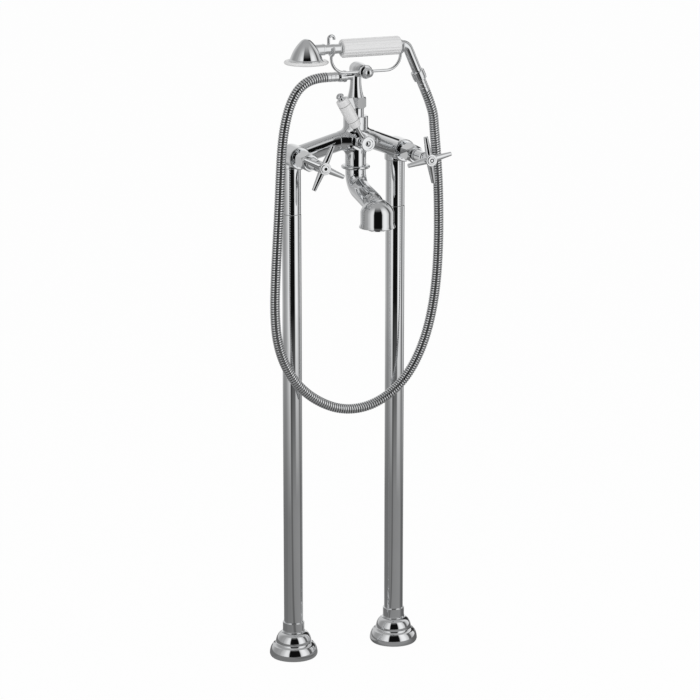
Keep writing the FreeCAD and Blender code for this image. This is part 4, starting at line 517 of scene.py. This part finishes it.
def floor_material():
    """Pale floor, nearly white where it is looked at, which keeps the object's shadow."""
    material = bpy.data.materials.new("pale_floor")
    material.use_nodes = True
    tree = material.node_tree
    tree.nodes.clear()
    output = tree.nodes.new("ShaderNodeOutputMaterial")
    mix = tree.nodes.new("ShaderNodeMixShader")
    diffuse = tree.nodes.new("ShaderNodeBsdfDiffuse")
    glow = tree.nodes.new("ShaderNodeEmission")
    share = tree.nodes.new("ShaderNodeMath")
    share.operation = "MULTIPLY"
    share.inputs[1].default_value = FLOOR_WHITE_SHARE
    diffuse.inputs["Color"].default_value = (FLOOR_GREY, FLOOR_GREY, FLOOR_GREY, 1.0)
    tree.links.new(looked_at(tree), share.inputs[0])
    tree.links.new(share.outputs["Value"], mix.inputs["Fac"])
    tree.links.new(diffuse.outputs["BSDF"], mix.inputs[1])
    tree.links.new(glow.outputs["Emission"], mix.inputs[2])
    tree.links.new(mix.outputs["Shader"], output.inputs["Surface"])
    return material


def plane(name, width, depth, place, normal, material):
    """A flat square-cornered sheet, centred on place and facing normal."""
    bm = bmesh.new()
    bmesh.ops.create_grid(bm, x_segments=1, y_segments=1, size=0.5)
    bmesh.ops.scale(bm, vec=(width, depth, 1.0), verts=bm.verts)
    turn = Vector(normal).to_track_quat("Z", "Y").to_matrix()
    bmesh.ops.rotate(bm, cent=(0.0, 0.0, 0.0), matrix=turn, verts=bm.verts)
    bmesh.ops.translate(bm, vec=place, verts=bm.verts)
    obj = add_piece(name, bm, material)


floor_z = cad_box[0].z
plane("floor", FLOOR_SIZE, FLOOR_SIZE, (0.0, 0.0, floor_z), (0.0, 0.0, 1.0), floor_material())


def studio_world():
    """Soft light from all round, plain white where it is looked at."""
    world = bpy.data.worlds.new("studio")
    scene.world = world
    world.use_nodes = True
    tree = world.node_tree
    tree.nodes.clear()
    output = tree.nodes.new("ShaderNodeOutputWorld")
    mix = tree.nodes.new("ShaderNodeMixShader")
    for slot, strength in ((1, WORLD_STRENGTH), (2, BACKDROP_STRENGTH)):
        background = tree.nodes.new("ShaderNodeBackground")
        background.inputs["Color"].default_value = (1.0, 1.0, 1.0, 1.0)
        background.inputs["Strength"].default_value = strength
        tree.links.new(background.outputs["Background"], mix.inputs[slot])
    tree.links.new(looked_at(tree), mix.inputs["Fac"])
    tree.links.new(mix.outputs["Shader"], output.inputs["Surface"])


studio_world()


# Reflections and lamps ---------------------------------------------------


def tone_ramp(tree, around, tones):
    """Greys by azimuth, where around runs from 0 to 1, anticlockwise from the left as seen from above."""
    ramp = tree.nodes.new("ShaderNodeValToRGB")
    stops = sorted((((azimuth + 90.0) / 360.0) % 1.0, grey) for azimuth, grey in tones)
    elements = ramp.color_ramp.elements
    elements[0].position, elements[1].position = stops[0][0], stops[-1][0]
    elements[0].color = (*(stops[0][1],) * 3, 1.0)
    elements[1].color = (*(stops[-1][1],) * 3, 1.0)
    for position, grey in stops[1:-1]:
        stop = elements.new(position)
        stop.color = (grey, grey, grey, 1.0)
    tree.links.new(around, ramp.inputs["Fac"])
    return ramp.outputs["Color"]


def blend_tones(tree, source, start, end, first, second):
    """Goes from the first colour to the second as the source runs from start to end."""
    mix = tree.nodes.new("ShaderNodeMixRGB")
    tree.links.new(map_range(tree, source, start, end), mix.inputs["Fac"])
    for colour, socket in ((first, mix.inputs["Color1"]), (second, mix.inputs["Color2"])):
        if isinstance(colour, float):
            socket.default_value = (colour, colour, colour, 1.0)
        else:
            tree.links.new(colour, socket)
    return mix.outputs["Color"]


def room_tones_material():
    """Greys round the room, by azimuth, distance and height, that only reflections show."""
    material = bpy.data.materials.new("room_tones")
    material.use_nodes = True
    tree = material.node_tree
    tree.nodes.clear()
    output = tree.nodes.new("ShaderNodeOutputMaterial")
    glow = tree.nodes.new("ShaderNodeEmission")
    place = tree.nodes.new("ShaderNodeTexCoord")
    around = tree.nodes.new("ShaderNodeTexGradient")
    flat = tree.nodes.new("ShaderNodeVectorMath")
    reach = tree.nodes.new("ShaderNodeVectorMath")
    axes = tree.nodes.new("ShaderNodeSeparateXYZ")
    around.gradient_type = "RADIAL"
    flat.operation = "MULTIPLY"
    flat.inputs[1].default_value = (1.0, 1.0, 0.0)
    reach.operation = "LENGTH"
    tree.links.new(place.outputs["Object"], around.inputs["Vector"])
    tree.links.new(place.outputs["Object"], flat.inputs[0])
    tree.links.new(flat.outputs["Vector"], reach.inputs[0])
    tree.links.new(place.outputs["Object"], axes.inputs["Vector"])
    near = tone_ramp(tree, around.outputs["Fac"], NEAR_TONES)
    far = tone_ramp(tree, around.outputs["Fac"], FAR_TONES)
    ground = blend_tones(tree, reach.outputs["Value"], NEAR_REACH, FAR_REACH, near, far)
    whole = blend_tones(tree, axes.outputs["Z"], DIMMING_START, DIMMING_END, ground, CEILING_TONE)
    tree.links.new(whole, glow.inputs["Color"])
    tree.links.new(glow.outputs["Emission"], output.inputs["Surface"])
    return material


def room_cards():
    """Round studio room with its floor and ceiling, seen only in the object's reflections."""
    bm = bmesh.new()
    outline = [
        bm.verts.new((0.0, 0.0, floor_z + ROOM_LIFT)),
        bm.verts.new((ROOM_RADIUS, 0.0, floor_z + ROOM_LIFT)),
        bm.verts.new((ROOM_RADIUS, 0.0, WALL_HEIGHT)),
        bm.verts.new((ROOM_RADIUS / 2.0, 0.0, CEILING_HEIGHT)),
        bm.verts.new((0.0, 0.0, CEILING_HEIGHT)),
    ]
    edges = [bm.edges.new(pair) for pair in zip(outline, outline[1:])]
    bmesh.ops.spin(
        bm,
        geom=outline + edges,
        cent=(0.0, 0.0, 0.0),
        axis=(0.0, 0.0, 1.0),
        angle=math.tau,
        steps=ROOM_SIDES,
        use_merge=True,
        use_duplicate=False,
    )
    room = add_piece("room_cards", bm, room_tones_material())
    room.visible_camera = False
    room.visible_diffuse = False
    room.visible_shadow = False
    room.visible_transmission = False


room_cards()


def area_light(name, place, target, width, height, watts):
    """A soft rectangular lamp."""
    data = bpy.data.lights.new(name, "AREA")
    data.shape = "RECTANGLE"
    data.size = width
    data.size_y = height
    data.energy = watts
    lamp = bpy.data.objects.new(name, data)
    lamp.location = place
    lamp.visible_glossy = False
    lamp.rotation_euler = (Vector(target) - Vector(place)).to_track_quat("-Z", "Y").to_euler()
    scene.collection.objects.link(lamp)


area_light("key_softbox", place=(-1.8, -2.2, 2.4), target=LAMP_TARGET, width=1.6, height=1.6, watts=30.0)
area_light("fill_softbox", place=(2.4, -1.6, 1.8), target=LAMP_TARGET, width=1.2, height=1.8, watts=12.0)

# Camera ----------------------------------------------------------------

turn = math.radians(CAMERA_AZIMUTH)
rise = math.radians(CAMERA_ELEVATION)
back = Vector((
    math.sin(turn) * math.cos(rise),
    -math.cos(turn) * math.cos(rise),
    math.sin(rise),
))
camera_data = bpy.data.cameras.new("camera")
camera_data.sensor_fit = "HORIZONTAL"
camera_data.sensor_width = 36.0
camera_data.lens = CAMERA_LENS
camera_data.clip_start = 0.05
camera_data.clip_end = 100.0
camera = bpy.data.objects.new("camera", camera_data)
camera.rotation_mode = "QUATERNION"
camera.location = CAMERA_TARGET + back * CAMERA_DISTANCE
camera.rotation_quaternion = (-back).to_track_quat("-Z", "Y")
scene.collection.objects.link(camera)
scene.camera = camera

scene.view_settings.view_transform = "Standard"
